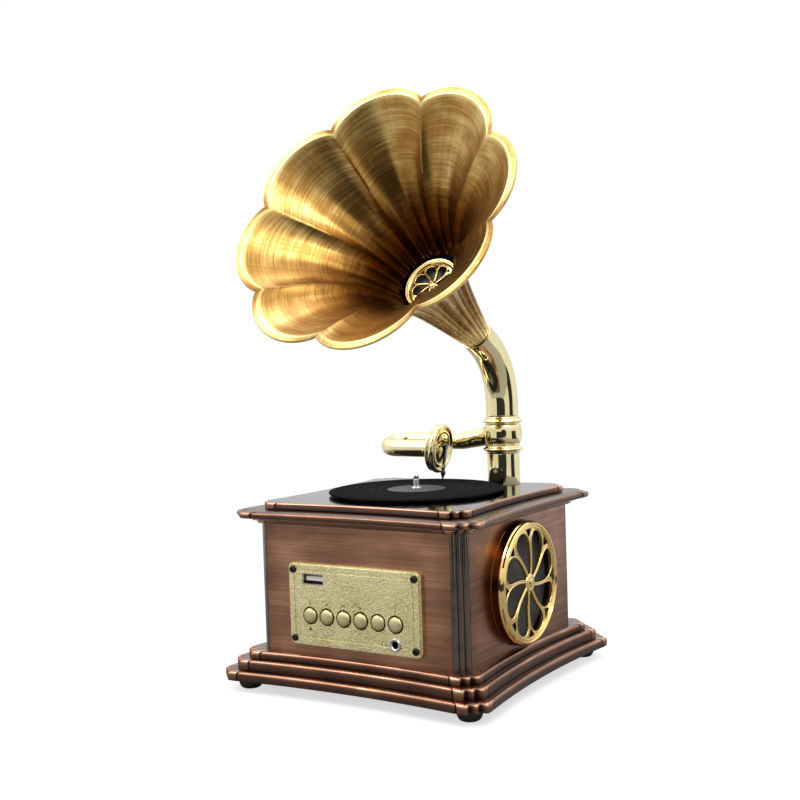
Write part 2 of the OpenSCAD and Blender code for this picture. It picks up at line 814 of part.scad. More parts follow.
module horn_grille() {
    color("#d8b45c") on_horn() {
        difference() {
            translate([0, 0, 48.4]) rotate_extrude($fn = 80) polygon([[12.8, 0], [14.7, 0],
                [15.6, 2.4], [15.6, 3.1], [14.9, 3.8], [13.9, 3.6], [13.3, 2.8], [12.4, 2.8],
                [12.4, 1.6], [12.8, 1.6]]);
        }
        translate([0, 0, 50]) linear_extrude(1.2) difference() {
            circle(r = 12.6, $fn = 80);
            lattice_holes(2.4, 11.4, 0.9, 14);
        }
        translate([0, 0, 50]) rotate_extrude() polygon([[0, 0], [2.1, 0], [2.1, 1.3], [1.2, 1.9],
            [0, 2]]);
    }
}

module tweeter() {
    color("#1e1d1c") on_horn() rotate_extrude($fn = 72) polygon([[0, 38.4], [6, 38.4],
        [6, 41.6], [11.2, 43.4], [12.5, 46.6], [12.5, 48.3], [12.6, 49.6], [11.4, 49.6], [10, 48],
        [4, 46.6], [2.6, 48], [0, 48.6]]);
}

// ---------- inside the cabinet ----------

module main_board() {
    color("#1f5a34") place() {
        translate([-36, -22, 12]) cube([72, 44, 1.6]);
        translate([-20, -9, 13.5]) cube([14, 14, 1.8]);
        translate([10, -12, 13.5]) cube([9, 9, 1.8]);
        for (x = [-28, 24, 30]) translate([x, 12, 13.5]) cylinder(r = 4, h = 11);
        translate([-30, -18, 13.5]) cube([10, 6, 7]);
    }
}

module dc_inlet() {
    color("#1a1a1b") place() translate([22, body_half, 34]) rotate([-90, 0, 0]) {
        rotate_extrude() polygon([[2.75, -10], [5.5, -10], [5.5, 0], [6.6, 0], [6.6, 1.2],
            [6.2, 1.6], [2.75, 1.6]]);
        translate([0, 0, -11]) cylinder(r = 5.5, h = 1.2);
        translate([0, 0, -10]) cylinder(r = 1, h = 10);
    }
}

module power_switch() {
    color("#1a1a1b") place() translate([-22.8, body_half, 34]) rotate([-90, 0, 0]) {
        translate([-1.4, -1.2, -3.1]) cube([2.8, 2.4, 5.4]);
        translate([-3, -2.3, -3.8]) cube([6, 4.6, 1.4]);
    }
}

module switch_body() {
    color("#5b5d60") place() translate([-29.8, body_half - panel_t - 5.5, 28]) cube([18, 5.5, 12]);
}

// ---------- which parts to draw ----------

feet();
foot_screws();
bottom_cover();
cover_screws();
plinth_lower();
plinth_middle();
plinth_upper();
front_panel();
back_panel();
left_panel();
right_panel();
corner_posts();
crown_moulding();
deck_plate();
control_plate();
plate_screws();
button_1();
button_2();
button_3();
button_4();
button_5();
button_6();
control_board();
usb_socket();
aux_jack();
indicator();
grille_right();
grille_left();
cloth_right();
cloth_left();
basket_right();
basket_left();
cone_right();
cone_left();
speaker_screws();
record();
record_label();
platter();
spindle();
spindle_bush();
platter_gear();
motor();
motor_pinion();
motor_bracket();
pillar();
pillar_nut();
tonearm_collar();
tonearm_tube();
sound_box();
sound_box_face();
needle_lever();
needle();
elbow();
horn();
horn_grille();
tweeter();
main_board();
dc_inlet();
power_switch();
switch_body();
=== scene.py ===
"""Tabletop horn phonograph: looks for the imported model.

Run as a script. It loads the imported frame, makes the stage and every finish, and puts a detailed
surface in the place of the plainer solids.
"""

import math

import bmesh
import bpy
import numpy as np
from bpy.props import FloatProperty, FloatVectorProperty, PointerProperty
from mathutils import Matrix, Vector


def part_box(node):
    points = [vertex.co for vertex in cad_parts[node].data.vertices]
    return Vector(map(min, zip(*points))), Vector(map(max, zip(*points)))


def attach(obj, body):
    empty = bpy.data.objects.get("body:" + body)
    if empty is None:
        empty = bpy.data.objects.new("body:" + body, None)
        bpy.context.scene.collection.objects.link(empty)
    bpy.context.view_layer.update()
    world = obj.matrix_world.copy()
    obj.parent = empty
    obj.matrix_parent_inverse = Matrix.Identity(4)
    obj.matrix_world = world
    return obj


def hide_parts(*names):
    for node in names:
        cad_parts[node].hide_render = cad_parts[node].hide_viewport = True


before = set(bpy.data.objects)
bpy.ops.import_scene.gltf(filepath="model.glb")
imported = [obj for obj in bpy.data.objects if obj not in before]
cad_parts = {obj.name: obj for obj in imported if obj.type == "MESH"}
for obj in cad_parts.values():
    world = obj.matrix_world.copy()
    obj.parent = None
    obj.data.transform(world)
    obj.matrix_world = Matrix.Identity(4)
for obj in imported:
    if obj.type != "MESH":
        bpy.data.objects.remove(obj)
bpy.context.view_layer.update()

bl_info = {
    "name": "Horn phonograph",
    "version": (1, 0, 0),
    "blender": (4, 5, 0),
    "location": "View3D > Sidebar > Phonograph",
    "description": "Detailed surfaces and finishes for a tabletop horn phonograph",
    "category": "Object",
}

# the cabinet's centre line, from the base's box; shapes are drawn about it in millimetres
BASE_LOW, BASE_HIGH = (np.array(corner) * 1000 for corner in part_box("plinth_lower"))
CENTRE = np.array([(BASE_LOW[0] + BASE_HIGH[0]) / 2, (BASE_LOW[1] + BASE_HIGH[1]) / 2, 0])

PILLAR = np.array([28.0, 50.0, 0.0])
COLLAR_Z = 127.2
BEND_Z, BEND_R, BEND_A, ELBOW_TAIL = 143.6, 40.0, math.radians(59.8), 11.3
HORN_TURN = 81.3
DECK_Z, RECORD_Z = 98.4, 99.5
RECORD_R = float((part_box("record")[1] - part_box("record")[0])[0]) * 500
GRILLE_Y, GRILLE_Z = -3.0, 54.4
BUTTON_X, BUTTON_PITCH, BUTTON_Z = -26.4, 10.35, 41.6
BUTTON_RIM = 4.1
FRONT_Y, PLATE_Z, PLATE_FACE = -62.4, 48.1, 2.86
USB_AT, AUX_AT, MARK_AT = (-24.2, FRONT_Y, 60.5), (24.8, FRONT_Y, 31.4), (18.2, FRONT_Y, 31.4)
WALL_X, CLOTH_R = 62.4, 29.3
BOX_AT, BOX_DIP, BOX_YAW = np.array([0.4, 30.9, 119.5]), math.radians(98), math.radians(4.5)
ARM_RUN, ARM_BACK, ARM_R = 33.0, 22.4, 4.8

CAMERA_AT = (0.337865, -0.552927, 0.179517)
CAMERA_TURN, CAMERA_RISE, CAMERA_ROLL = (math.radians(a) for a in (32.044, 2.582, -1.847))
CAMERA_LENS = 55.53
FLOOR_HALF = 0.4


# ---------------------------------------------------------------- settings


def length(name, text, default, low, high):
    """A size in metres, shown in the scene's units."""
    return FloatProperty(name=name, description=text, default=default, min=low, max=high,
                         subtype="DISTANCE", unit="LENGTH", precision=5)


def colour(name, text, default):
    """A colour of a finish."""
    return FloatVectorProperty(name=name, description=text, default=default, size=3, min=0,
                               max=1, subtype="COLOR")


class HornSettings(bpy.types.PropertyGroup):
    """Shape of the horn."""

    wall: length("Wall", "Thickness of the sheet", 0.001, 0.0005, 0.002)
    flute_depth: length("Flutes", "Height of the flutes near the throat", 0.00075, 0, 0.0015)
    lip: length("Lip", "Width of the band along the rim", 0.0046, 0.002, 0.008)
    lip_rise: length("Lip rise", "How far the fold of the band stands forward", 0.0019, 0, 0.003)


class CabinetSettings(bpy.types.PropertyGroup):
    """Edges of the cabinet's mouldings."""

    bullnose: length("Bullnose", "Radius of the upper edge of a tier", 0.0016, 0.0005, 0.002)
    arris: length("Arris", "Rounding of the corner blocks", 0.0008, 0.0002, 0.0012)
    notch: length("Notch", "Depth of the groove beside the corner blocks", 0.0005, 0, 0.001)


class DetailSettings(bpy.types.PropertyGroup):
    """Small detail of the record, the grilles and the panel."""

    groove_depth: length("Groove", "Depth of the record's grooves", 0.00004, 0, 0.0001)
    groove_pitch: length("Groove pitch", "Distance between two grooves", 0.0008, 0.0004, 0.002)
    bead: length("Lattice bead", "Radius of the bead round a leaf", 0.00052, 0.0003, 0.001)
    icon: length("Icon", "Height of a mark above a button", 0.0013, 0.001, 0.002)


class FinishSettings(bpy.types.PropertyGroup):
    """Colours of the finishes."""

    copper: colour("Copper", "Worn copper plate", (0.335, 0.160, 0.094))
    # also stands for the painted shade in the gaps and notches of the mouldings
    copper_dark: colour("Patina", "Patina and painted shade in the recesses of the copper", (0.075, 0.036, 0.026))
    gold: colour("Gold", "Polished pale gold of the tubes", (0.88, 0.78, 0.45))
    grille_gold: colour("Grille gold", "Polished gold of the grilles", (0.87, 0.64, 0.26))
    horn: colour("Horn brass", "Open brass of the horn", (0.36, 0.19, 0.042))
    # also stands for the painted shade down the horn's throat
    horn_dark: colour("Horn patina and shade", "Brown in the horn's throat", (0.07, 0.024, 0.005))
    plate: colour("Plate brass", "Sand-cast brass of the control plate", (0.78, 0.67, 0.31))
    vinyl: colour("Vinyl", "Pressed record", (0.006, 0.006, 0.007))


class PhonographSettings(bpy.types.PropertyGroup):
    """Everything that a user would change."""

    horn: PointerProperty(type=HornSettings)
    cabinet: PointerProperty(type=CabinetSettings)
    detail: PointerProperty(type=DetailSettings)
    finish: PointerProperty(type=FinishSettings)


# ---------------------------------------------------------------- shader maths


class Value:
    """Wraps one output socket, so that an expression on values adds its Math nodes."""

    def __init__(self, look, socket):
        self.look, self.socket = look, socket

    def __add__(self, other):
        return self.look.maths("ADD", self, other)

    def __sub__(self, other):
        return self.look.maths("SUBTRACT", self, other)

    def __mul__(self, other):
        return self.look.maths("MULTIPLY", self, other)

    def __truediv__(self, other):
        return self.look.maths("DIVIDE", self, other)

    def __pow__(self, other):
        return self.look.maths("POWER", self, other)

    def __rsub__(self, other):
        return self.look.maths("SUBTRACT", other, self)

    __radd__ = __add__
    __rmul__ = __mul__


class Graph:
    """The nodes of a material or a world, and the few calls that build them."""

    def __init__(self, tree, place):
        self.nodes, self.links = tree.nodes, tree.links
        self.nodes.clear()
        self.place = self.node("ShaderNodeTexCoord", {}, {}, place)

    def node(self, kind, settings, sockets, output=0):
        """Adds a node: its settings, then each socket's value or link. Gives one output."""
        made = self.nodes.new(kind)
        for key, value in settings.items():
            if key == "stops":
                ramp = made.color_ramp
                while len(ramp.elements) < len(value):
                    ramp.elements.new(0.5)
                for stop, (at, shade) in zip(ramp.elements, value):
                    stop.position = at
                    stop.color = (*(shade if hasattr(shade, "__len__") else (shade,) * 3), 1)
            else:
                setattr(made, key, value)
        for key, value in sockets.items():
            if isinstance(value, Value):
                self.links.new(value.socket, made.inputs[key])
            else:
                made.inputs[key].default_value = value
        return Value(self, made.outputs[output])

    def maths(self, operation, a, b=0.0, clamp=False):
        return self.node("ShaderNodeMath", {"operation": operation, "use_clamp": clamp},
                         {0: a, 1: b})

    def clamp(self, a):
        return self.maths("ADD", a, 0.0, True)

    def ramp(self, factor, *stops):
        return self.node("ShaderNodeValToRGB", {"stops": stops}, {"Fac": factor})

    def blend(self, factor, a, b, kind="MIX"):
        """Colour a where the factor is 0 and colour b where it is 1."""
        full = [x if isinstance(x, Value) else (*x[:3], 1) for x in (a, b)]
        return self.node("ShaderNodeMix", {"data_type": "RGBA", "blend_type": kind},
                         {0: factor, 6: full[0], 7: full[1]}, 2)

    def stretched(self, scale, turn=(0, 0, 0), at=(0, 0, 0)):
        """The place on the object, multiplied along each axis after it is turned."""
        return self.node("ShaderNodeMapping", {"vector_type": "POINT"},
                         {"Vector": self.place, "Location": at, "Rotation": turn, "Scale": scale})

    def noise(self, scale, detail=3.0, vector=None, roughness=0.5):
        return self.node("ShaderNodeTexNoise", {}, {
            "Vector": vector or self.place, "Scale": scale, "Detail": detail,
            "Roughness": roughness})

    def cells(self, scale, vector=None):
        return self.node("ShaderNodeTexVoronoi", {"feature": "F1"},
                         {"Vector": vector or self.place, "Scale": scale})

    def axes(self, vector=None):
        """The three coordinates of a vector as values."""
        split = self.nodes.new("ShaderNodeSeparateXYZ")
        self.links.new((vector or self.place).socket, split.inputs[0])
        return [Value(self, s) for s in split.outputs]

    def attribute(self, name):
        return self.node("ShaderNodeAttribute", {"attribute_name": name}, {}, "Fac")

    def uv(self):
        return self.axes(self.node("ShaderNodeTexCoord", {}, {}, "UV"))


class Look(Graph):
    """One finish: a material with one main shader, whose fixed values are set straight away."""

    def __init__(self, name, **constants):
        self.material = bpy.data.materials.new("look_" + name)
        self.material.use_nodes = True
        super().__init__(self.material.node_tree, "Object")
        self.shader = self.nodes.new("ShaderNodeBsdfPrincipled")
        self.out = self.nodes.new("ShaderNodeOutputMaterial")
        self.links.new(self.shader.outputs[0], self.out.inputs["Surface"])
        for key, value in constants.items():
            label = key.replace("_", " ").title().replace("Ior", "IOR")
            self.shader.inputs[label].default_value = value

    def under(self, factor, kind, sockets):
        """Mixes a second shader in: all of it where the factor is 0, none where it is 1."""
        plain = self.node(kind, {}, sockets)
        mixed = self.node("ShaderNodeMixShader", {}, {
            0: factor, 1: plain, 2: Value(self, self.shader.outputs[0])})
        self.links.new(mixed.socket, self.out.inputs["Surface"])

    def finish(self, height=None, strength=0.3, distance=0.0002, **sockets):
        """Links what varies into the shader: any of its colour, roughness, metallic and bump."""
        for key, value in sockets.items():
            self.links.new(value.socket, self.shader.inputs[key.replace("_", " ").title()])
        if height is not None:
            bump = self.node("ShaderNodeBump", {}, {
                "Strength": strength, "Distance": distance, "Height": height})
            self.links.new(bump.socket, self.shader.inputs["Normal"])
        return self.material


def colours():
    """The colours that the settings give."""
    return bpy.context.scene.phonograph.finish


def dim(shade, by, add=0.0):
    """A colour made darker or lighter."""
    return tuple(min(1, by * v + add) for v in shade)


def brushed(look, fine, along):
    """Streaks: noise drawn out along a surface, fine across it. Gives a fine and a broad value."""
    thin = look.noise(1, 4, look.stretched([along[i] if along[i] > 0 else fine for i in range(3)]))
    wide = look.noise(1, 3, look.stretched([
        (along[i] if along[i] > 0 else fine) * 0.22 for i in range(3)], at=(0.3, 0.1, 0.7)))
    return thin, wide


def copper_panel():
    """Antique copper brushed level: streaks along the walls, darker clouds, and painted shade at
    the edges.
    """
    look = Look("copper_panel", metallic=1.0, roughness=0.34, coat_weight=0.25,
                coat_roughness=0.22)
    c = colours()
    thin, wide = brushed(look, 2600, (22, 22, 0))
    cloud = look.noise(28, 3, look.stretched((1, 1, 1.9)))
    x, y, z = look.axes()
    # nearness to a wall's upright edge, its top and its foot, as painted shade: darker by the
    # posts and under the crown, lighter towards the foot
    side_x = look.maths("ABSOLUTE", x - CENTRE[0] * 0.001)
    side_y = look.maths("ABSOLUTE", y - CENTRE[1] * 0.001)
    across = look.maths("MINIMUM", side_x, side_y)
    edge = look.clamp((across - 0.046) / 0.011) + look.clamp((z - 0.080) / 0.009) * 0.7 \
        - look.clamp((0.056 - z) / 0.03) * 0.5
    tone = look.clamp((thin - 0.5) * 0.8 + (wide - 0.5) * 0.6 + (cloud - 0.5) * 1.2 + 0.68
                      - edge * 0.2)
    shade = look.ramp(tone, (0.0, dim(c.copper, 0.30)),
                      (0.42, dim(c.copper, 0.62)), (0.72, c.copper),
                      (1.0, dim(c.copper, 1.45, 0.02)))
    return look.finish(Base_Color=shade, Roughness=0.24 + (1 - tone) * 0.2 + (thin - 0.5) * 0.2,
                       height=thin + wide * 0.2, strength=0.10, distance=0.0001)


def copper_moulding():
    """Copper moulding: bright where it is rubbed and carries a painted highlight on the arrises,
    brown patina with painted shade in the recesses and the gaps.
    """
    look = Look("copper_moulding", metallic=1.0, roughness=0.3, coat_weight=0.3,
                coat_roughness=0.15)
    c = colours()
    # the attribute carries rubbed copper with painted light: a highlight on the arrises and the
    # bead, shade in the notches and the gaps
    worn = look.attribute("worn")
    thin, wide = brushed(look, 2200, (30, 30, 0))
    grain = look.noise(900, 3)
    cloud = look.noise(60, 4)
    tone = look.clamp(worn + (cloud - 0.5) * 0.55 + (thin - 0.5) * 0.5 + (grain - 0.5) * 0.22)
    shade = look.ramp(tone, (0.0, dim(c.copper_dark, 0.5)),
                      (0.25, c.copper_dark), (0.55, dim(c.copper, 0.42)),
                      (0.85, dim(c.copper, 0.85)),
                      (1.0, (0.58, 0.30, 0.19)))
    return look.finish(Base_Color=shade, Roughness=0.40 - tone * 0.2 + (thin - 0.5) * 0.15,
                       height=thin + grain * 0.3, strength=0.15, distance=0.0001)


def post_metal():
    """Dark polished posts: near-black copper with streaks drawn up the beads."""
    look = Look("post_metal", metallic=1.0, roughness=0.2, coat_weight=0.5, coat_roughness=0.06)
    c = colours()
    streak = look.noise(1, 3, look.stretched((1500, 1500, 25)))
    cloud = look.noise(120, 3)
    tone = look.clamp((streak - 0.5) * 1.2 + (cloud - 0.5) * 0.7 + 0.47)
    shade = look.ramp(tone, (0.0, (0.012, 0.010, 0.009)), (0.5, (0.15, 0.115, 0.098)),
                      (1.0, dim(c.copper, 0.6)))
    return look.finish(Base_Color=shade, Roughness=0.14 + tone * 0.18, height=streak,
                       strength=0.12, distance=0.0001)


def deck_gloss():
    """Deck plate: dark lacquered copper, rubbed to copper on its edges with a painted highlight,
    and darker at its foot as painted shade.
    """
    look = Look("deck_gloss", metallic=1.0, roughness=0.18, coat_weight=0.34, coat_roughness=0.05)
    c = colours()
    # the attribute carries rubbed copper with painted light: a highlight round the edge, shade at
    # the foot
    worn = look.attribute("worn")
    cloud = look.noise(35, 4)
    swirl = look.noise(700, 3)
    tone = look.clamp(worn + (cloud - 0.5) * 0.35 + (swirl - 0.5) * 0.18)
    shade = look.ramp(tone, (0.0, (0.045, 0.026, 0.022)), (0.35, (0.10, 0.055, 0.043)),
                      (0.7, dim(c.copper, 0.9)), (1.0, (0.75, 0.38, 0.26)))
    return look.finish(Base_Color=shade, Roughness=0.12 + tone * 0.2 + (swirl - 0.5) * 0.06,
                       height=swirl + cloud, strength=0.04, distance=0.0001)


def gold_polish(name, tint, rough, spots=0.0):
    """Polished plating: faint clouding, hairline scratches and a little orange peel."""
    look = Look(name, metallic=1.0, roughness=rough)
    cloud = look.noise(70, 4)
    hair = look.noise(1, 5, look.stretched((350, 350, 2600), turn=(0.5, 0.3, 0.2)))
    peel = look.noise(420, 2)
    tone = look.clamp((cloud - 0.5) * 0.9 + (hair - 0.5) * 0.5 + 0.6)
    shade = look.ramp(tone, (0.0, tuple(v * s for v, s in zip(tint, (0.72, 0.66, 0.52)))),
                      (0.6, tuple(tint)), (1.0, dim(tint, 1.08, 0.01)))
    if spots:
        shade = look.blend(look.clamp((look.noise(900, 2) - 0.66) * 6) * spots, shade,
                           (0.3, 0.2, 0.08))
        # darker amber on the side grilles' lattice low by the wall, beneath the beads
        out = look.maths("ABSOLUTE", look.axes()[0] * 1000 - CENTRE[0])
        wall = look.clamp(out - 61.5) * look.clamp((67.3 - out) * 1.4)
        shade = look.blend(wall, shade, (0.16, 0.055, 0.012))
    return look.finish(Base_Color=shade, Roughness=rough + (1 - tone) * 0.05 + (hair - 0.5) * 0.04,
                       height=peel + hair * 0.15, strength=0.03, distance=0.0002)


def horn_brass():
    """Antiqued brass: turned rings, brown patina with painted shade in the throat, brown in the
    valleys, rubbed on the crests, and a painted highlight along the fold.
    """
    look = Look("horn_brass", metallic=1.0, roughness=0.3, coat_weight=0.15, coat_roughness=0.2)
    c = colours()
    # the attribute carries rubbed brass with painted light: shade down the throat, a highlight
    # along the fold and the rim
    brass_wear_and_light = look.attribute("worn")
    u, v, _ = look.uv()
    ring = look.node("ShaderNodeCombineXYZ", {}, {0: u * 9.0, 1: v * 300.0, 2: 0.0})
    rings = look.noise(1, 4, ring, 0.6)
    broad = look.noise(1, 3, look.node("ShaderNodeCombineXYZ", {}, {
        0: u * 26.0, 1: v * 46.0, 2: 4.0}))
    cloud = look.noise(22, 4)
    drawn = look.noise(1, 4, look.node("ShaderNodeCombineXYZ", {}, {
        0: u * 260.0, 1: v * 5.0, 2: 8.0}))
    tone = look.clamp(brass_wear_and_light + (rings - 0.5) * 0.62 + (broad - 0.5) * 0.45
                      + (cloud - 0.5) * 0.9 + (drawn - 0.5) * 0.25 + 0.02)
    shade = look.ramp(tone, (0.0, dim(c.horn_dark, 0.35)),
                      (0.2, dim(c.horn_dark, 1.3)), (0.45, (0.19, 0.082, 0.013)),
                      (0.7, c.horn), (1.0, (0.74, 0.54, 0.21)))
    return look.finish(Base_Color=shade,
                       Roughness=0.36 - tone * 0.1 + (rings - 0.5) * 0.22,
                       height=rings + drawn * 0.15, strength=0.35, distance=0.00014)


def plate_brass():
    """Sand-cast brass: a fine pitted field, brown in its pits, with painted shade round the
    buttons.
    """
    look = Look("plate_brass", metallic=1.0, roughness=0.36)
    c = colours()
    sand = look.noise(1900, 4, roughness=0.7)
    pits = look.cells(900)
    cloud = look.noise(60, 3)
    # painted shade: a dark ring round each of the six buttons, at the edge of its hole
    x, _, z = look.axes()
    across = x * 1000 - (CENTRE[0] + BUTTON_X)
    nearest = look.maths("ROUND", across / BUTTON_PITCH)
    nearest = look.maths("MAXIMUM", look.maths("MINIMUM", nearest, 5.0), 0.0)
    off = across - nearest * BUTTON_PITCH
    far = look.maths("SQRT", off * off + (z * 1000 - BUTTON_Z) ** 2.0)
    ring = look.clamp(1.5 - look.maths("ABSOLUTE", far - BUTTON_RIM) * 2.4)
    tone = look.clamp((sand - 0.5) * 2.8 + (cloud - 0.5) * 0.7 + pits * 0.5 + 0.5 - ring * 1.7)
    shade = look.ramp(tone, (0.0, (0.035, 0.022, 0.008)), (0.3, dim(c.plate, 0.6)),
                      (0.6, c.plate), (1.0, (0.95, 0.87, 0.54)))
    return look.finish(Base_Color=shade, Roughness=0.32 + (sand - 0.5) * 0.3, height=sand + pits,
                       strength=0.5, distance=0.0003)


def vinyl():
    """Pressed black disc: dust-fine variation between bands, glossy."""
    look = Look("vinyl", metallic=0.0, roughness=0.2, ior=1.22)
    c = colours()
    x, y, _ = look.axes()
    far = look.maths("SQRT", (x - CENTRE[0] * 0.001) ** 2.0 + (y - CENTRE[1] * 0.001) ** 2.0)
    bands = look.noise(1, 3, look.node("ShaderNodeCombineXYZ", {}, {0: far * 900.0}))
    dust = look.noise(2500, 2)
    tone = look.clamp((bands - 0.5) * 2.2 + 0.4 + look.clamp((dust - 0.62) * 5) * 0.25)
    shade = look.ramp(tone, (0.0, c.vinyl), (1.0, (0.03, 0.03, 0.032)))
    # between the bands the grooves swallow the light; only some rings shine
    shine = look.clamp((bands - 0.56) * 4.0) * 0.42
    look.under(shine, "ShaderNodeBsdfDiffuse", {"Color": shade, "Roughness": 0.6})
    return look.finish(Base_Color=shade, Roughness=0.14 + tone * 0.16, height=bands, strength=0.4,
                       distance=0.0001)


def speaker_cloth():
    """Plain weave of black yarn: two crossing waves, over and under in turn."""
    look = Look("speaker_cloth", roughness=0.85, sheen_weight=0.4, sheen_roughness=0.4)
    _, y, z = look.axes()
    weave = look.maths("SINE", y * 6300.0) * look.maths("SINE", z * 6300.0) * 0.5 + 0.5
    slub = look.noise(600, 3)
    shade = look.ramp(look.clamp(weave * 0.7 + (slub - 0.5) * 0.8 + 0.1),
                      (0.0, (0.003, 0.003, 0.003)), (1.0, (0.03, 0.027, 0.024)))
    return look.finish(Base_Color=shade, Roughness=0.75 + slub * 0.25, height=weave + slub * 0.3,
                       strength=0.6, distance=0.0002)


def common(name, low, high, metallic, rough, size, strength, drawn=(1, 1, 1),
           **constants):
    """A finish of two tones of one colour, with a grain of the given size and a soft clouding."""
    look = Look(name, metallic=metallic, roughness=rough, **constants)
    grain = look.noise(1 / size, 3, look.stretched(drawn), 0.6)
    cloud = look.noise(45, 3)
    tone = look.clamp((grain - 0.5) * 1.3 + (cloud - 0.5) * 0.9 + 0.5)
    return look.finish(Base_Color=look.ramp(tone, (0.15, low), (0.85, high)),
                       Roughness=rough + (grain - 0.5) * 0.25, height=grain, strength=strength,
                       distance=size * 0.25)


def circuit_board():
    """Green board: copper tracks as a fine grid of cells under the mask."""
    look = Look("circuit_board", roughness=0.3, coat_weight=0.5, coat_roughness=0.2)
    cell = look.node("ShaderNodeTexVoronoi", {"feature": "DISTANCE_TO_EDGE",
                                              "voronoi_dimensions": "3D"},
                     {"Vector": look.place, "Scale": 380.0})
    track = look.clamp((cell - 0.08) * 14)
    shade = look.blend(track, (0.03, 0.14, 0.05), (0.012, 0.07, 0.026))
    shade = look.blend(look.noise(60, 3) * 0.5, shade, (0.02, 0.09, 0.03))
    return look.finish(Base_Color=shade, Roughness=0.26 + track * 0.12, height=1 - track,
                       strength=0.3, distance=0.0001)


# dark tone, light tone, metallic, roughness, grain in metres, strength of its bump, and the rest
STEEL = (1.0, 0.28, 0.0008, 0.12, {"drawn": (0.25, 1, 1)})
LACQUER = {"coat_weight": 0.6, "coat_roughness": 0.05}
COMMON = {
    "rubber": ((0.006, 0.006, 0.006), (0.022, 0.021, 0.02), 0.0, 0.55, 0.0006, 0.3, {}),
    "label": ((0.008, 0.007, 0.007), (0.024, 0.021, 0.019), 0.0, 0.5, 0.0004, 0.2, {}),
    "screw_black": ((0.006, 0.006, 0.006), (0.03, 0.028, 0.026), 0.6, 0.35, 0.0005, 0.3, {}),
    "steel": ((0.42, 0.42, 0.43), (0.66, 0.66, 0.67), *STEEL),
    "socket_steel": ((0.45, 0.45, 0.46), (0.72, 0.72, 0.73), *STEEL),
    "speaker_metal": ((0.045, 0.047, 0.05), (0.11, 0.11, 0.115), 0.9, 0.45, 0.0006, 0.25, {}),
    "bush_brass": ((0.45, 0.3, 0.08), (0.7, 0.5, 0.2), 1.0, 0.3, 0.0006, 0.1, {}),
    "dark_plastic": ((0.010, 0.010, 0.010), (0.028, 0.026, 0.026), 0.0, 0.42, 0.0005, 0.25, {}),
    "lens": ((0.035, 0.02, 0.008), (0.10, 0.05, 0.02), 0.0, 0.15, 0.0005, 0.05,
             {"coat_weight": 1.0}),
    "cone_paper": ((0.012, 0.011, 0.010), (0.035, 0.032, 0.028), 0.0, 0.9, 0.0007, 0.5, {}),
    "nylon": ((0.60, 0.57, 0.48), (0.78, 0.75, 0.66), 0.0, 0.45, 0.001, 0.1, {}),
    "motor_can": ((0.28, 0.28, 0.29), (0.45, 0.45, 0.46), 1.0, 0.35, 0.001, 0.1, {}),
    "lever_black": ((0.008, 0.007, 0.007), (0.03, 0.026, 0.022), 0.3, 0.22, 0.0007, 0.08,
                    LACQUER),
    "icon_ink": ((0.03, 0.018, 0.008), (0.09, 0.055, 0.022), 0.4, 0.5, 0.0004, 0.2, {}),
}


def make_finishes():
    """Every finish by name. The names are the ones in the table of carried-over parts."""
    c = colours()
    made = {make.__name__: make() for make in (
        copper_panel, copper_moulding, post_metal, deck_gloss, horn_brass, plate_brass, vinyl,
        speaker_cloth, circuit_board)}
    made["gold"] = gold_polish("gold", c.gold, 0.035)
    made["grille_gold"] = gold_polish("grille_gold", c.grille_gold, 0.06, 0.4)
    made["button_brass"] = gold_polish("button_brass", (0.66, 0.58, 0.31), 0.4, 0.8)
    for name, (*row, rest) in COMMON.items():
        made[name] = common(name, *row, **rest)
    return made


# ---------------------------------------------------------------- surfaces


def homed(points):
    """Cabinet millimetres to the frame's metres."""
    return (np.asarray(points, float) + CENTRE) * 0.001


def seated(points, at, axes):
    """Points given along three axes that start at a place on the cabinet."""
    return homed(np.asarray(points, float) @ np.asarray(axes, float) + np.asarray(at, float))


def eased(points, radius, steps=3):
    """Every corner of a polyline becomes a short parabola that starts and ends `radius` away."""
    p = np.asarray(points, float)
    radius = np.broadcast_to(np.asarray(radius, float), len(p))

    def towards(q):
        gap = q - p
        reach = np.minimum(0.45, radius / np.maximum(np.linalg.norm(gap, axis=1), 1e-9))
        return p + gap * reach[:, None]

    a, b = towards(np.roll(p, 1, 0)), towards(np.roll(p, -1, 0))
    t = np.linspace(0, 1, steps + 1)[None, :, None]
    curve = (1 - t) ** 2 * a[:, None] + 2 * t * (1 - t) * p[:, None] + t ** 2 * b[:, None]
    curve[0], curve[-1] = p[0], p[-1]
    return curve.reshape(-1, p.shape[1])


def turned(profile, steps=96):
    """A profile of radius and height carried round an axis: (r cos a, r sin a, z)."""
    p = np.asarray(profile, float)
    a = np.linspace(0, 2 * np.pi, steps, endpoint=False)[None, :]
    r, z = p[:, :1], p[:, 1:2]
    return np.stack([r * np.cos(a), r * np.sin(a), z + 0 * a], -1)


def piped(path, along, radius, lean, steps=48):
    """A circle carried along a path: its plane is square to the path and kept level by `lean`."""
    along = along / np.linalg.norm(along, axis=1, keepdims=True)
    side = np.cross(lean, along)
    side /= np.linalg.norm(side, axis=1, keepdims=True)
    rise = np.cross(along, side)
    a = np.linspace(0, 2 * np.pi, steps, endpoint=False)[None, :, None]
    ring = np.cos(a) * side[:, None] + np.sin(a) * rise[:, None]
    return path[:, None] + np.asarray(radius, float)[:, None, None] * ring


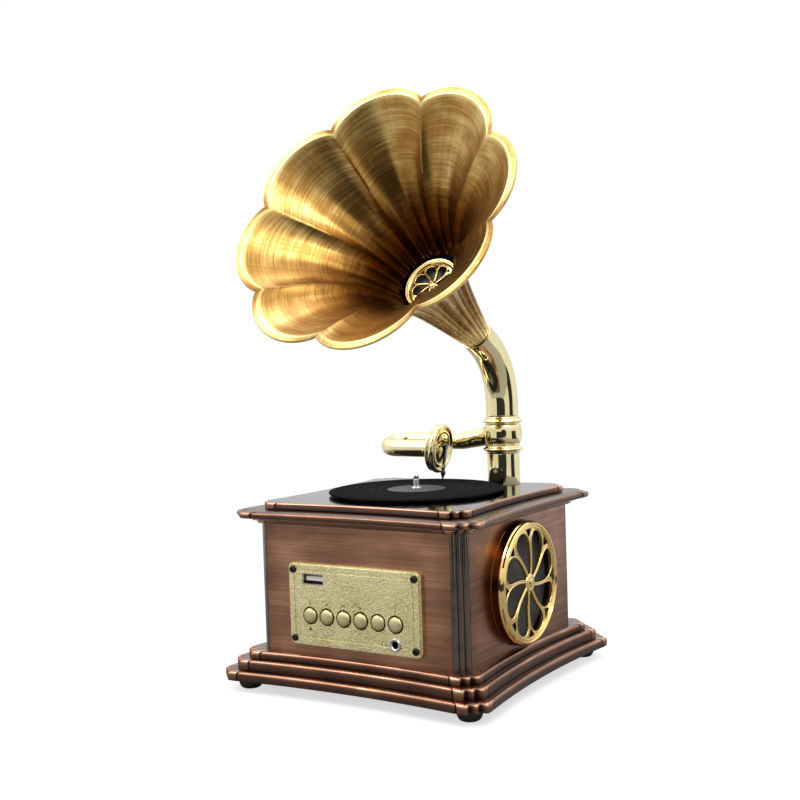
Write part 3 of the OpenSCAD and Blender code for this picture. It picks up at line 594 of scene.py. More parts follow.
def surface(name, grids, body, finish, looped=False, closed=True, angle=32, worn=None,
            stands_for=()):
    """One object from grids of points in metres: rows along, columns round, faces between."""
    verts, faces, coords, shades, start = [], [], [], [], 0
    for k, grid in enumerate(grids):
        rows, cols = grid.shape[:2]
        i = np.arange(rows if looped else rows - 1)[:, None]
        j = np.arange(cols)[None, :]
        nexts = (i + 1) % rows
        quad = [i * cols + j, i * cols + (j + 1) % cols, nexts * cols + (j + 1) % cols,
                nexts * cols + j]
        faces.append(np.stack([q + 0 * (i + j) for q in quad], -1).reshape(-1, 4) + start)
        u, v = np.broadcast_arrays(j / cols, i / max(rows - 1, 1))
        du, dv = 1 / cols, 1 / max(rows - 1, 1)
        corner = [np.stack([u + x * du, v + y * dv], -1) for x, y in
                  ((0, 0), (1, 0), (1, 1), (0, 1))]
        coords.append(np.stack(corner, -2).reshape(-1, 2))
        verts.append(grid.reshape(-1, 3))
        shades.append(np.full(rows * cols, 0.5) if worn is None
                      else np.broadcast_to(worn[k], (rows, cols)).ravel())
        start += rows * cols
    mesh = bpy.data.meshes.new(name)
    mesh.from_pydata(np.concatenate(verts), [], np.concatenate(faces).tolist())
    mesh.uv_layers.new(name="UVMap").data.foreach_set("uv", np.concatenate(coords).ravel())
    mesh.attributes.new("worn", "FLOAT", "POINT").data.foreach_set(
        "value", np.concatenate(shades))
    work = bmesh.new()
    work.from_mesh(mesh)
    bmesh.ops.remove_doubles(work, verts=work.verts, dist=2e-6)
    if closed:
        bmesh.ops.recalc_face_normals(work, faces=work.faces)
    work.to_mesh(mesh)
    work.free()
    mesh.shade_smooth()
    mesh.set_sharp_from_angle(angle=math.radians(angle))
    piece = bpy.data.objects.new(name, mesh)
    bpy.context.scene.collection.objects.link(piece)
    mesh.materials.append(bpy.data.materials["look_" + finish])
    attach(piece, body)
    if stands_for:
        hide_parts(*stands_for)
    return piece


def gilt(name, node, grids, body, looped=False):
    """A surface in polished gold that stands for one part."""
    return surface(name, grids, body, "gold", looped=looped, stands_for=(node,))


def softened(name, node, body, finish, width, steps=2, angle=35):
    """A CAD part with its edges eased: its triangles are merged, then bevelled along the edges."""
    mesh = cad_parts[node].data.copy()
    mesh.name = name
    work = bmesh.new()
    work.from_mesh(mesh)
    bmesh.ops.remove_doubles(work, verts=work.verts, dist=2e-6)
    bmesh.ops.dissolve_limit(work, angle_limit=math.radians(0.5), verts=work.verts,
                             edges=work.edges)
    work.to_mesh(mesh)
    work.free()
    mesh.shade_smooth()
    mesh.set_sharp_from_angle(angle=math.radians(angle))
    piece = bpy.data.objects.new(name, mesh)
    bpy.context.scene.collection.objects.link(piece)
    mesh.materials.clear()
    mesh.materials.append(bpy.data.materials["look_" + finish])
    bevel = piece.modifiers.new("eased", "BEVEL")
    bevel.width, bevel.segments = width, steps
    bevel.limit_method, bevel.angle_limit = "ANGLE", math.radians(angle)
    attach(piece, body)
    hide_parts(node)
    return piece


# ---------------------------------------------------------------- cabinet shapes


def lobed_outline(half, cut, bow, arris, notch):
    """Once round a square with inward arcs for sides and three stepped blocks at each corner.

    The top side is y = half - bow + R - sqrt(R^2 - x^2), where R makes the arc reach y = half
    at the corner's cut. The corner goes down in steps of 0.34 of the cut. Also gives how much
    each point stands out: 1 on an arris, -1 in a notch.
    """
    c, reach = cut, half - cut
    big = (reach * reach + bow * bow) / (2 * bow)
    end = half - 1.30 * c
    x = end * np.sin(np.linspace(-np.pi / 2, np.pi / 2, 41))
    side = np.stack([x, half - bow + big - np.sqrt(big * big - x * x)], -1)
    low = side[-1, 1] - half
    first = np.array([[-1.27 * c, low - notch], [-1.22 * c, low - notch], [-1.20 * c, 0],
                      [-0.68 * c, 0], [-0.68 * c, -0.34 * c]])
    knuckle = np.concatenate([first, [[-0.34 * c, -0.34 * c]], first[::-1, ::-1]])
    out = np.array([-1, -1, 1, 1, -1, 1, -1, 1, 1, -1, -1.0])
    radius = np.where(out > 0, arris, 0.2)
    corner = eased(knuckle, radius, 3) + half
    quarter = np.concatenate([side, corner])
    stands = np.concatenate([np.zeros(len(side)), np.repeat(out, 4)])
    turns = [np.array([[np.cos(a), -np.sin(a)], [np.sin(a), np.cos(a)]])
             for a in -np.arange(4) * np.pi / 2]
    return np.concatenate([quarter @ t.T for t in turns]), np.tile(stands, 4)


def moulding(name, levels, hole, finish, node, round_hole=False):
    """Outlines stacked at their heights, and closed on a square or round hole inside."""
    s = bpy.context.scene.phonograph.cabinet
    rows, shade = [], []
    for half, cut, bow, z, level_wear_and_light in levels:
        outline, stands = lobed_outline(half, cut, bow, s.arris * 1000, s.notch * 1000)
        rows.append(np.column_stack([outline, np.full(len(outline), z)]))
        # arrises lighter: rubbed copper with a painted highlight; notches darker: patina with
        # painted shade
        shade.append(np.clip(level_wear_and_light + np.where(stands > 0, 0.3, 0.45) * stands, 0, 1))

    def inner(row):
        size = np.linalg.norm(row[:, :2], axis=1) if round_hole else np.abs(row[:, :2]).max(1)
        return np.column_stack([row[:, :2] * (hole / size)[:, None], row[:, 2]])

    rows = [inner(rows[0]), *rows, inner(rows[-1])]
    shade = [shade[0] * 0 + levels[0][4], *shade, shade[-1] * 0 + levels[-1][4]]
    return surface(name, [homed(np.stack(rows))], "cabinet", finish, looped=True, angle=38,
                   worn=[np.stack(shade)], stands_for=(node,))


def tier_levels(half, cut, bow, low, high, radius):
    """A tier: small round at its foot, upright face, then a quarter round of `radius`."""
    a = np.linspace(0, np.pi / 2, 6)
    # the last value of each: darker at the foot as painted shade in the gap below the tier,
    # brightest halfway round the bullnose as a painted highlight, darker inward on the top as
    # painted shade under the next tier
    foot = [(half - 0.5 * (1 - np.sin(t)), low + 0.5 * (1 - np.cos(t)), 0.30) for t in a[1:]]
    face = [(half, low + 0.45 * (high - low), 0.42)]
    nose = [(half - radius * (1 - np.cos(t)), high - radius * (1 - np.sin(t)),
             0.62 + 0.22 * np.sin(2 * t)) for t in a]
    inside = [(half - radius - 0.6, high, 0.55), (half - radius - 5, high, 0.25)]
    return [(h, cut, bow, z, w) for h, z, w in
            [(half - 0.5, low, 0.15), *foot, *face, *nose, *inside]]


# ---------------------------------------------------------------- horn shape


HORN_L, NECK_R, NOTCH_R, PETAL_R = 116.2, 7.4, 67.6, 75.66


def horn_grid(s, cols=320, rows=118):
    """The horn's sheet, inside then outside, as one closed band.

    Along a crease the radius is a straight cone plus a power of the height; between creases a
    petal (1 - |q|^2.07)^0.855 swells it, q going from -1 to 1 across a petal. Flutes are
    cos(3 pi q) waves that fade to the rim. Near the rim the sheet rises to a fold and drops
    again to its edge. The outside is the inside moved out by the wall along the crease's
    normal. Also gives how bright each point is: rubbed brass, brown patina with painted shade
    down the throat, darker streaks along the flutes and the creases, and a painted highlight
    along the fold's line and the rim.
    """
    t = 1 - (1 - np.linspace(0, 1, rows)) ** 1.45
    fold = 1 - 0.0175 * (s.lip / 0.0046)
    t = np.sort(np.concatenate([t, fold + np.array([-0.006, -0.002, 0, 0.002, 0.006])]))[:, None]
    a = np.linspace(0, 360, cols, endpoint=False)[None, :]
    q = 2 * ((a / 45) % 1) - 1
    petal = np.clip(1 - np.abs(q) ** 2.07, 0, None) ** 0.855
    z = HORN_L * t
    power = NOTCH_R - NECK_R - 0.13 * HORN_L
    crease = NECK_R + 0.13 * z + power * t ** 3.68
    slope = 1.12 * (0.13 + 3.68 / HORN_L * power * t ** 2.68)
    swell = 0.75 * np.sin(np.pi * np.minimum(1, 1.4 * t)) + (PETAL_R - NOTCH_R) * t ** 2.6
    fade = np.clip(np.sin(np.pi * t ** 0.7), 0, None) ** 1.5
    wave = np.cos(3 * np.pi * q)
    r = crease + swell * petal + s.flute_depth * 1000 * fade * wave
    rise = np.clip((t - 0.86) / (fold - 0.86), 0, 1) ** 2.2 * np.clip((1 - t) / (1 - fold), 0, 1)
    zz = z + 1.5 * t ** 8 * petal + s.lip_rise * 1000 * rise * petal ** 0.55
    k = s.wall * 1000 / np.sqrt(1 + slope * slope)
    turn = np.radians(a + HORN_TURN)

    def band(radius, height):
        return np.stack([radius * np.cos(turn), radius * np.sin(turn), height + 0 * radius], -1)

    inside, outside = band(r, zz), band(r + k, np.maximum(zz - slope * k, 0.72))
    rim = (inside[-1:] + outside[-1:]) / 2 + (inside[-1:] - inside[-2:-1]) * -0.15
    tail = [turned([[8.2, 0.7], [7.5, 0.7], [7.5, -6], [6.4, -6], [6.4, 0.5]], cols)]
    whole = np.concatenate([inside, rim, outside[::-1], tail[0]])
    valley = 0.5 - 0.5 * wave
    near = np.abs(q) ** 14
    # the inside: brown patina with painted shade down the throat, darker along the flutes and at
    # the creases, and a painted highlight along the fold
    inside_wear_and_light = 0.26 + 0.48 * np.clip((t - 0.36) / 0.60, 0, 1) - 0.24 * valley * fade \
        - 0.22 * near * np.clip(1.3 - t, 0, 1) + 0.45 * np.exp(-((t - fold) / 0.005) ** 2)
    # the outside: open brass, darker along the flutes and at the creases
    back = 1.02 - 0.36 * (0.5 + 0.5 * wave) * fade - 0.15 * near + 0 * t
    # the rim is lighter, rubbed brass with a painted highlight; the sleeve in the neck is dark
    worn = np.concatenate([inside_wear_and_light, inside_wear_and_light[-1:] + 0.35, back[::-1], np.full((5, cols), 0.2)])
    return whole, np.clip(worn, 0, 1)


def horn_axes():
    """The horn's frame: x to the right, y square to its axis, z out of its mouth."""
    c, n = math.cos(BEND_A), math.sin(BEND_A)
    start = PILLAR + [0, -BEND_R * (1 - c) - ELBOW_TAIL * n, BEND_Z + BEND_R * n + ELBOW_TAIL * c]
    return start, np.array([[1, 0, 0], [0, c, n], [0, -n, c]])


def elbow_line(s):
    """Place and direction on the elbow's middle line: up, round an arc, then straight."""
    up, arc = 6.4, BEND_R * BEND_A
    turn = np.clip((s - up) / BEND_R, 0, BEND_A)
    tail = np.clip(s - up - arc, 0, None)
    y = PILLAR[1] - BEND_R * (1 - np.cos(turn)) - tail * math.sin(BEND_A)
    z = BEND_Z - up + np.minimum(s, up) + BEND_R * np.sin(turn) + tail * math.cos(BEND_A)
    zero = 0 * s
    return (np.stack([PILLAR[0] + zero, y, z], -1),
            np.stack([zero, -np.sin(turn), np.cos(turn)], -1))


def leaf_loop(inner, outer, bar, swirl, out, steps=26):
    """Once round one leaf-shaped opening, moved outwards by `out`.

    At a radius r the leaf is half as wide as the eighth part less the bar, times a root that
    closes it at the rim, and its middle swings back by the swirl towards the hub.
    """
    r = inner + (outer - inner) * np.sin(np.linspace(0, np.pi / 2, steps))
    t = (r - inner) / (outer - inner)
    width = np.maximum(0.05, (r * math.sin(math.pi / 8) - bar / 2)
                       * np.sqrt(np.clip(1 - t ** 6, 0, None)))
    middle = np.radians(22.5 - swirl * (1 - t))
    edge = np.arcsin(np.minimum(1, width / r))
    up = np.stack([r * np.cos(middle + edge), r * np.sin(middle + edge)], -1)
    down = np.stack([r * np.cos(middle - edge), r * np.sin(middle - edge)], -1)
    loop = np.concatenate([up, down[-2::-1]])
    ahead = np.roll(loop, -1, 0) - np.roll(loop, 1, 0)
    ahead /= np.maximum(np.linalg.norm(ahead, axis=1, keepdims=True), 1e-9)
    normal = np.stack([-ahead[:, 1], ahead[:, 0]], -1)
    sign = -1 if (normal * (loop - loop.mean(0))).sum() < 0 else 1
    return loop + sign * out * normal, ahead


def lattice_beads(inner, outer, bar, swirl, bead, height, mirror=1):
    """A round bead carried along each of eight leaves: closed rings of small circles."""
    loop, ahead = leaf_loop(inner, outer, bar, swirl, bead * 0.9)
    flat, grids = np.column_stack([loop, np.full(len(loop), height)]), []
    for k in range(8):
        a = k * math.pi / 4
        spin = np.array([[math.cos(a), math.sin(a), 0], [-math.sin(a), math.cos(a), 0],
                         [0, 0, 1]])
        spin = spin @ np.diag([1, mirror, 1])
        path = flat @ spin
        way = np.column_stack([ahead, np.zeros(len(ahead))]) @ spin
        grids.append(piped(path, way, np.full(len(path), bead), (0, 0, 1), 12))
    return grids


def prism(outline, low, high):
    """A flat shape with straight sides: its outline at two heights, and caps to its middle."""
    p = np.asarray(outline, float)
    mid = np.broadcast_to(p.mean(0), p.shape)
    rows = [(mid, low), (p, low), (p, high), (mid, high)]
    return np.stack([np.column_stack([q, np.full(len(p), z)]) for q, z in rows])


# ---------------------------------------------------------------- operators


ON_FRONT = np.array([[1, 0, 0], [0, 0, 1], [0, -1, 0.0]])


def on_side(points, side):
    """Points drawn about a side grille, z outwards, put on the right (1) or left (-1) wall."""
    axes = np.array([[0, 0, -side], [0, 1, 0], [side, 0, 0.0]])
    return seated(points, (side * WALL_X, GRILLE_Y, GRILLE_Z), axes)


CARRIED = {
    "copper_panel": "front_panel back_panel left_panel right_panel",
    "copper_moulding": "plinth_lower plinth_middle plinth_upper crown_moulding",
    "post_metal": "corner_posts", "deck_gloss": "deck_plate", "plate_brass": "control_plate",
    "button_brass": "button_1 button_2 button_3 button_4 button_5 button_6",
    "rubber": "feet", "steel": "foot_screws speaker_screws motor_bracket spindle needle",
    "screw_black": "plate_screws cover_screws",
    "dark_plastic": "bottom_cover dc_inlet power_switch tweeter switch_body platter",
    "circuit_board": "control_board main_board", "socket_steel": "usb_socket aux_jack",
    "lens": "indicator", "grille_gold": "grille_right grille_left horn_grille",
    "speaker_cloth": "cloth_right cloth_left", "speaker_metal": "basket_right basket_left",
    "cone_paper": "cone_right cone_left", "vinyl": "record", "label": "record_label",
    "bush_brass": "spindle_bush motor_pinion pillar_nut", "nylon": "platter_gear",
    "motor_can": "motor", "horn_brass": "horn", "lever_black": "needle_lever",
    "gold": "pillar tonearm_collar tonearm_tube sound_box sound_box_face elbow",
}


class PHONOGRAPH_OT_finishes(bpy.types.Operator):
    """Makes every finish and gives each carried-over part its own"""

    bl_idname = "phonograph.finishes"
    bl_label = "Finishes"

    def execute(self, context):
        made = make_finishes()
        table = {node: name for name, nodes in CARRIED.items() for node in nodes.split()}
        for node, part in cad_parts.items():
            material = made[table[node]]
            part.data.materials.clear()
            part.data.materials.append(material)
        return {"FINISHED"}


class PHONOGRAPH_OT_plinth(bpy.types.Operator):
    """Three tiers of the base with rounded upper edges and stepped corner blocks"""

    bl_idname = "phonograph.plinth"
    bl_label = "Plinth"

    def execute(self, context):
        nose = context.scene.phonograph.cabinet.bullnose * 1000
        for node, half, cut, low, high, hole in (
                ("plinth_lower", 79.2, 10.8, 6.0, 11.0, 48),
                ("plinth_middle", 74.5, 10.4, 11.0, 16.4, 48),
                ("plinth_upper", 69.9, 10.1, 16.4, 20.5, 50)):
            moulding(node + "_moulded", tier_levels(half, cut, 4.2, low, high, nose), hole,
                     "copper_moulding", node)
        return {"FINISHED"}


class PHONOGRAPH_OT_crown(bpy.types.Operator):
    """Crown moulding in steps with a rounded bead, and the glossy deck plate on it"""

    bl_idname = "phonograph.crown"
    bl_label = "Crown and deck"

    def execute(self, context):
        # half width, cut of the corner, bow of the side, height and wear with painted light of
        # each outline
        a = np.linspace(-np.pi / 2, np.pi / 2, 9)
        # dark in the grooves between the steps as painted shade, lighter on the steps' edges
        levels = [(64.6, 8.6, 0.9, 87.9, 0.2), (65.0, 8.6, 0.9, 88.2, 0.35),
                  (65.0, 8.6, 0.9, 89.2, 0.6), (65.3, 8.9, 1.1, 89.5, 0.15),
                  (67.2, 9.9, 2.0, 89.6, 0.3), (67.6, 10, 2.0, 89.9, 0.7),
                  (67.6, 10, 2.0, 90.7, 0.5), (68.2, 10.4, 2.2, 91.0, 0.1),
                  (71.9, 12.4, 3.5, 91.05, 0.1)]
        # the bead: lighter over its upper half, a painted highlight
        levels += [(73.4 - 1.2 * (1 - np.cos(t)), 12.6, 3.6, 92.7 + 1.65 * np.sin(t),
                    0.42 + 0.36 * max(0, np.sin(t))) for t in a]
        levels += [(71.6, 12.6, 3.6, 94.4, 0.15), (70.9, 12.6, 3.6, 94.7, 0.4),
                   (66, 12.6, 3.6, 94.7, 0.2)]
        moulding("crown_moulded", levels, 40, "copper_moulding", "crown_moulding")
        a = np.linspace(0, np.pi / 2, 5)
        # deck: darker at its foot on the crown as painted shade, rubbed copper with a painted
        # highlight round its edge, then the dark lacquer of its top
        deck = [(h, 10, 3, z, level_wear_and_light) for h, z, level_wear_and_light in (
            (61.5, DECK_Z - 3.7, 0.1), (62, DECK_Z - 3.2, 0.3), (62, DECK_Z - 1.2, 0.42),
            *((62 - 0.9 * (1 - np.cos(t)), DECK_Z - 0.9 + 0.9 * np.sin(t),
               0.5 + 0.4 * np.sin(2 * t)) for t in a),
            (60.5, DECK_Z, 0.5), (59.9, DECK_Z, 0.02))]
        moulding("deck_polished", deck, 4.2, "deck_gloss", "deck_plate", True)
        return {"FINISHED"}


def mark_outlines(size):
    """Generic marks above the buttons, as outlines in millimetres about each button's mark."""
    h = size / 2
    back = [[[0, h], [-h * 1.2, 0], [0, -h]], [[h * 1.3, h], [h * 0.1, 0], [h * 1.3, -h]]]
    ahead = [[[-x, y] for x, y in reversed(shape)] for shape in back]
    play = [[[-h * 1.3, h], [-h * 1.3, -h], [0.1, 0]]]
    bars = [[[x, -h], [x + h * 0.35, -h], [x + h * 0.35, h], [x, h]] for x in (h * 0.4, h * 1.1)]
    rows = [[[-h, y], [h, y], [h, y + h * 0.4], [-h, y + h * 0.4]]
            for y in (-h, -h * 0.2, h * 0.6)]
    flat = [[[-h, -h * 0.2], [h, -h * 0.2], [h, h * 0.2], [-h, h * 0.2]]]
    tall = [[[-h * 0.2, -h], [h * 0.2, -h], [h * 0.2, h], [-h * 0.2, h]]]
    return [rows, back, play + bars, ahead, flat, flat + tall]


class PHONOGRAPH_OT_panel(bpy.types.Operator):
    """Control plate with eased edges, small marks on it, and six domed buttons"""

    bl_idname = "phonograph.panel"
    bl_label = "Control panel"

    def execute(self, context):
        softened("control_plate_eased", "control_plate", "cabinet", "plate_brass", 0.00028, 2)
        size = context.scene.phonograph.detail.icon * 1000
        xs = BUTTON_X + BUTTON_PITCH * np.arange(6)
        raised = (PLATE_FACE, PLATE_FACE + 0.07)
        grids = []
        for x, shapes in zip(xs, mark_outlines(size)):
            for shape in shapes:
                mark = prism(np.array(shape) + [x, 0], *raised)
                grids.append(seated(mark, (0, FRONT_Y, PLATE_Z), ON_FRONT))
        # the mark beside the audio socket: a band over two cups
        for x in (-1.2, 1.2):
            cup = [[x - 0.3, -0.9], [x + 0.3, -0.9], [x + 0.3, 0.1], [x - 0.3, 0.1]]
            grids.append(seated(prism(cup, *raised), MARK_AT, ON_FRONT))
        a = np.linspace(0, np.pi, 13)
        arc = np.stack([np.cos(a), np.sin(a)], -1)
        strip = np.stack([np.column_stack([r * arc, np.full(13, z)]) for r, z in
                          ((1.3, raised[0]), (1.3, raised[1]), (1.05, raised[1]),
                           (1.05, raised[0]))], 1)
        ends = [np.broadcast_to(strip[k].mean(0), (1, 4, 3)) for k in (0, -1)]
        strip = np.concatenate([ends[0], strip, ends[1]])
        grids.append(seated(strip, MARK_AT, ON_FRONT))
        surface("panel_marks", grids, "cabinet", "icon_ink")
        cap = eased([[0, 4.6], [1.3, 4.54], [2.4, 4.32], [3.1, 4.02], [3.6, 3.6], [3.86, 3.1],
                     [3.9, 2.6], [3.9, -0.2], [4.7, -0.2], [4.7, -1], [1.5, -1], [1.5, -1.3],
                     [0, -1.3]], 0.15, 2)
        for k, x in enumerate(xs, 1):
            dome = seated(turned(cap, 48), (x, FRONT_Y, BUTTON_Z), ON_FRONT)
            surface(f"button_{k}_domed", [dome], f"button_{k}", "button_brass",
                    stands_for=(f"button_{k}",))
        tongue = prism([[-5.2, -0.95], [5.45, -0.95], [5.45, 1.25], [-5.2, 1.25]], -10.5, 1.2)
        surface("usb_tongue", [seated(tongue, USB_AT, ON_FRONT)], "cabinet", "nylon")
        ring = eased([[1.8, -10], [3, -10], [3, 2.9], [3.45, 2.9], [3.45, 3.3], [3.2, 3.75],
                      [2.6, 3.8], [2.1, 3.55], [1.8, 3.1]], 0.12, 2)
        surface("aux_ring", [seated(turned(ring, 64), AUX_AT, ON_FRONT)], "cabinet",
                "socket_steel", looped=True, stands_for=("aux_jack",))
        return {"FINISHED"}


class PHONOGRAPH_OT_grilles(bpy.types.Operator):
    """Round beads along the leaves of both side grilles, and the cloth behind them"""

    bl_idname = "phonograph.grilles"
    bl_label = "Side grilles"

    def execute(self, context):
        bead = context.scene.phonograph.detail.bead * 1000
        for side, end in ((1, "right"), (-1, "left")):
            beads = lattice_beads(4.6, 27.8, 1.7, 16, bead, 6.1, side)
            ring = eased([[28.4, 6.2], [28.45, 6.9], [28.85, 7.15], [29.25, 6.9],
                          [CLOTH_R, 6.2]], 0.2, 3)
            hub = eased([[0, 7.85], [1.0, 7.75], [1.6, 7.2], [2.6, 7.0], [3.3, 7.2], [4.3, 6.9],
                         [4.8, 6.2], [4.8, 5.4], [0, 5.4]], 0.3, 3)
            surface(f"grille_beads_{end}", [on_side(g, side) for g in beads], "cabinet",
                    "grille_gold", looped=True)
            rings = [on_side(turned(ring, 120), side), on_side(turned(hub, 48), side)]
            surface(f"grille_rings_{end}", rings, "cabinet", "grille_gold", looped=True)
            r = np.linspace(0, CLOTH_R, 24)
            dish = turned(np.stack([r, 0.9 - 0.35 * (1 - (r / CLOTH_R) ** 2)], -1), 96)
            cloth = surface(f"cloth_{end}_woven", [on_side(dish, side)], "cabinet",
                            "speaker_cloth", closed=False, stands_for=(f"cloth_{end}",))
        return {"FINISHED"}


class PHONOGRAPH_OT_record(bpy.types.Operator):
    """Record with a raised edge and bands of grooves, and the turned spindle"""

    bl_idname = "phonograph.record"
    bl_label = "Record"

    def execute(self, context):
        s = context.scene.phonograph.detail
        depth, pitch, edge = s.groove_depth * 1000, s.groove_pitch * 1000, RECORD_R
        r = np.linspace(edge - 1.6, 19.5, 210)
        smooth = sum(np.exp(-((r - at) / 0.45) ** 2) for at in (25.5, 31.8, 37.0, 42.3))
        wave = np.cos(2 * np.pi * r / pitch)
        z = 1.12 + depth * (1 - np.clip(smooth, 0, 1)) * wave + 0.02 * smooth
        rows = [[1.5, 0], [edge - 0.6, 0], [edge - 0.15, 0.15], [edge, 0.45], [edge, 0.8],
                [edge - 0.2, 1.1], [edge - 0.6, 1.2], [edge - 1.1, 1.19], *np.stack([r, z], -1),
                [18.6, 1.1], [16.3, 1.16], [16.05, 1.12], [16, 0.95], [1.5, 0.95]]
        disc = np.array(rows) + [0, RECORD_Z]
        surface("record_grooved", [homed(turned(disc, 144))], "turntable", "vinyl", looped=True,
                stands_for=("record",), angle=50)
        top = RECORD_Z + 1.2
        pin = eased([[0, 80], [1.5, 80], [1.5, top], [2.6, top], [2.7, top + 0.3],
                     [2.3, top + 0.9],
                     [1.5, top + 1.3], [1.5, top + 4.9], [1.25, top + 5.2], [1.5, top + 5.5],
                     [1.5, top + 7.0], [1.1, top + 7.7], [0, top + 7.9]], 0.15, 3)
        surface("spindle_turned", [homed(turned(pin, 40))], "turntable", "steel",
                stands_for=("spindle",))
        return {"FINISHED"}


class PHONOGRAPH_OT_pillar(bpy.types.Operator):
    """Polished pillar with the beaded collar that carries the tone arm"""

    bl_idname = "phonograph.pillar"
    bl_label = "Pillar and collar"

    def execute(self, context):
        post = eased([[3.5, 78], [6, 78], [6, 98.4], [9.15, 98.4], [9.15, 116.3], [7.5, 116.3],
                      [7.5, 143], [3.5, 143]], 0.25, 3)
        gilt("pillar_polished", "pillar", [homed(turned(post, 96) + PILLAR)], "cabinet", True)
        a = np.radians(np.linspace(-80, 80, 17))
        bulge = np.stack([9.4 + 1.6 * np.cos(a), COLLAR_Z + 5.6 * np.sin(a)], -1)
        ring = np.array([[11.1, 118], [11.4, 118.6], [11.1, 119.2], [9.7, 119.8], [9.4, 121.2]])
        other = np.array([[9.4, 133.1], [11.1, 133.7], [11.4, 134.3], [11.1, 134.9], [9.8, 135.4],
                          [9.5, 137], [7.55, 137]])
        collar = np.concatenate([[[7.55, 116.4], [9.7, 116.4], [9.8, 117.6]], ring, bulge, other])
        whole = homed(turned(eased(collar, 0.3, 3), 96) + PILLAR)
        gilt("collar_beaded", "tonearm_collar", [whole], "tonearm", True)
        return {"FINISHED"}


def tonearm_line(s):
    """Place and direction along the tone arm: down and left, round a half turn, and back."""
    first = np.array([-26.0, 0, -4.7])
    size = np.linalg.norm(first)
    across = np.array([0, -19.1, -3.0])
    bend = np.linalg.norm(across) / 2
    across, left = across / (2 * bend), np.array([-1.0, 0, 0])
    one = np.clip(s, 0, size)[:, None]
    two = np.clip(s - size, 0, ARM_RUN)[:, None]
    turn = (np.clip(s - size - ARM_RUN, 0, np.pi * bend) / bend)[:, None]
    four = np.clip(s - size - ARM_RUN - np.pi * bend, 0, None)[:, None]
    place = PILLAR + [0, 0, COLLAR_Z] + first / size * one + left * two \
        + bend * (1 - np.cos(turn)) * across + bend * np.sin(turn) * left - left * four
    way = np.cos(turn) * left + np.sin(turn) * across
    mix = np.clip((s - size + 2.5) / 5, 0, 1)[:, None]
    way = np.where(s[:, None] < size + 2.5, first / size * (1 - mix) + left * mix, way)
    return place, way, size, bend


class PHONOGRAPH_OT_tonearm(bpy.types.Operator):
    """Tone arm tube: widens into the collar, loops back on itself and ends at the sound box"""

    bl_idname = "phonograph.tonearm"
    bl_label = "Tone arm"

    def execute(self, context):
        _, _, size, bend = tonearm_line(np.zeros(1))
        end = size + ARM_RUN + np.pi * bend + ARM_BACK
        s = np.concatenate([[7.5, 7.5], np.linspace(8, size + 4, 26),
                            np.linspace(size + 6, size + ARM_RUN, 14),
                            np.linspace(size + ARM_RUN + 0.6, end - ARM_BACK, 40),
                            np.linspace(end - ARM_BACK + 2, end - 3.2, 10),
                            end - np.array([2.9, 2.7, 2.4, 1.4, 1.1, 0.9, 0, 0])])
        flare = 0.75 * np.clip(1 - s / size, 0, 1) + 0.9 * np.clip(1 - (s - 8) / 7, 0, 1) ** 2
        r = ARM_R + flare
        r[0] = r[-1] = 0
        r[-7:-1] = ARM_R + np.array([0.4, 0.62, 0.7, 0.62, 0.4, -0.2])
        place, way, _, _ = tonearm_line(s)
        tube = homed(piped(place, way, r, (0, -0.156, 0.988)))
        gilt("tonearm_smooth", "tonearm_tube", [tube], "tonearm")
        return {"FINISHED"}


class PHONOGRAPH_OT_sound_box(bpy.types.Operator):
    """Sound box with a rolled rim, its domed face, and the sleeve that holds it on the tube"""

    bl_idname = "phonograph.sound_box"
    bl_label = "Sound box"

    def execute(self, context):
        c, n = math.cos(BOX_DIP), math.sin(BOX_DIP)
        axes = np.array([[c, 0, -n], [0, 1, 0], [n, 0, c]])
        c, n = math.cos(BOX_YAW), math.sin(BOX_YAW)
        axes = axes @ np.array([[c, n, 0], [-n, c, 0], [0, 0, 1]])
        body = eased([[0, -7.4], [5.6, -7.4], [6, -7.1], [6.1, -6.5], [11.6, -6.4], [12.6, -6.2],
                      [13.2, -5.8], [13.35, -5.3], [13.1, -4.75], [12.6, -4.35], [12.6, -4.1],
                      [13.3, -3.8], [13.8, -3.2], [14, -2.5], [13.9, -1.6], [13.35, -0.85],
                      [12.6, -0.62], [12, -0.9], [11.4, -1.9], [0, -2.0]], 0.3, 3)
        x = np.array([-8.4, -8.3, -8.1, -6.5, -5.0, -5.0])
        r = np.array([0, 3.9, 4.25, 4.25, 4.25, 0])
        path = BOX_AT + x[:, None] * np.array([1.0, 0, 0])
        sleeve = piped(path, np.tile([[1.0, 0, 0]], (6, 1)), r, (0, 0, 1), 48)
        gilt("sound_box_turned", "sound_box",
             [seated(turned(body, 96), BOX_AT, axes), homed(sleeve)], "sound_box")
        face = eased([[0, -2.2], [11.2, -2.2], [11.0, -1.4], [10.3, -1.05], [9.5, -1.0],
                      [8.9, -1.3], [8.2, -1.25], [6.5, -0.55], [3.2, 0.12], [1.5, 0.3],
                      [0, 0.34]], 0.5, 3)
        gilt("sound_box_dome", "sound_box_face", [seated(turned(face, 96), BOX_AT, axes)],
             "sound_box")
        return {"FINISHED"}


class PHONOGRAPH_OT_elbow(bpy.types.Operator):
    """Elbow: a tube that rises, bends forward and meets the horn's neck"""

    bl_idname = "phonograph.elbow"
    bl_label = "Elbow"

    def execute(self, context):
        end = 6.4 + BEND_R * BEND_A + ELBOW_TAIL
        out = np.concatenate([[0, 0, 0.1, 0.35], np.linspace(1, end - 1, 64),
                              [end - 0.35, end - 0.1, end, end]])
        back = np.concatenate([[end - 2], np.linspace(end - 3, 3, 40), [1.5]])
        r = np.concatenate([[7.6, 8.8, 9.05, 9.15], np.full(64, 9.15), [9.15, 9.05, 8.85, 7.6],
                            [7.5], np.full(40, 6.5), [7.5]])
        place, way = elbow_line(np.concatenate([out, back]))
        gilt("elbow_smooth", "elbow", [homed(piped(place, way, r, (1, 0, 0), 72))], "horn", True)
        return {"FINISHED"}


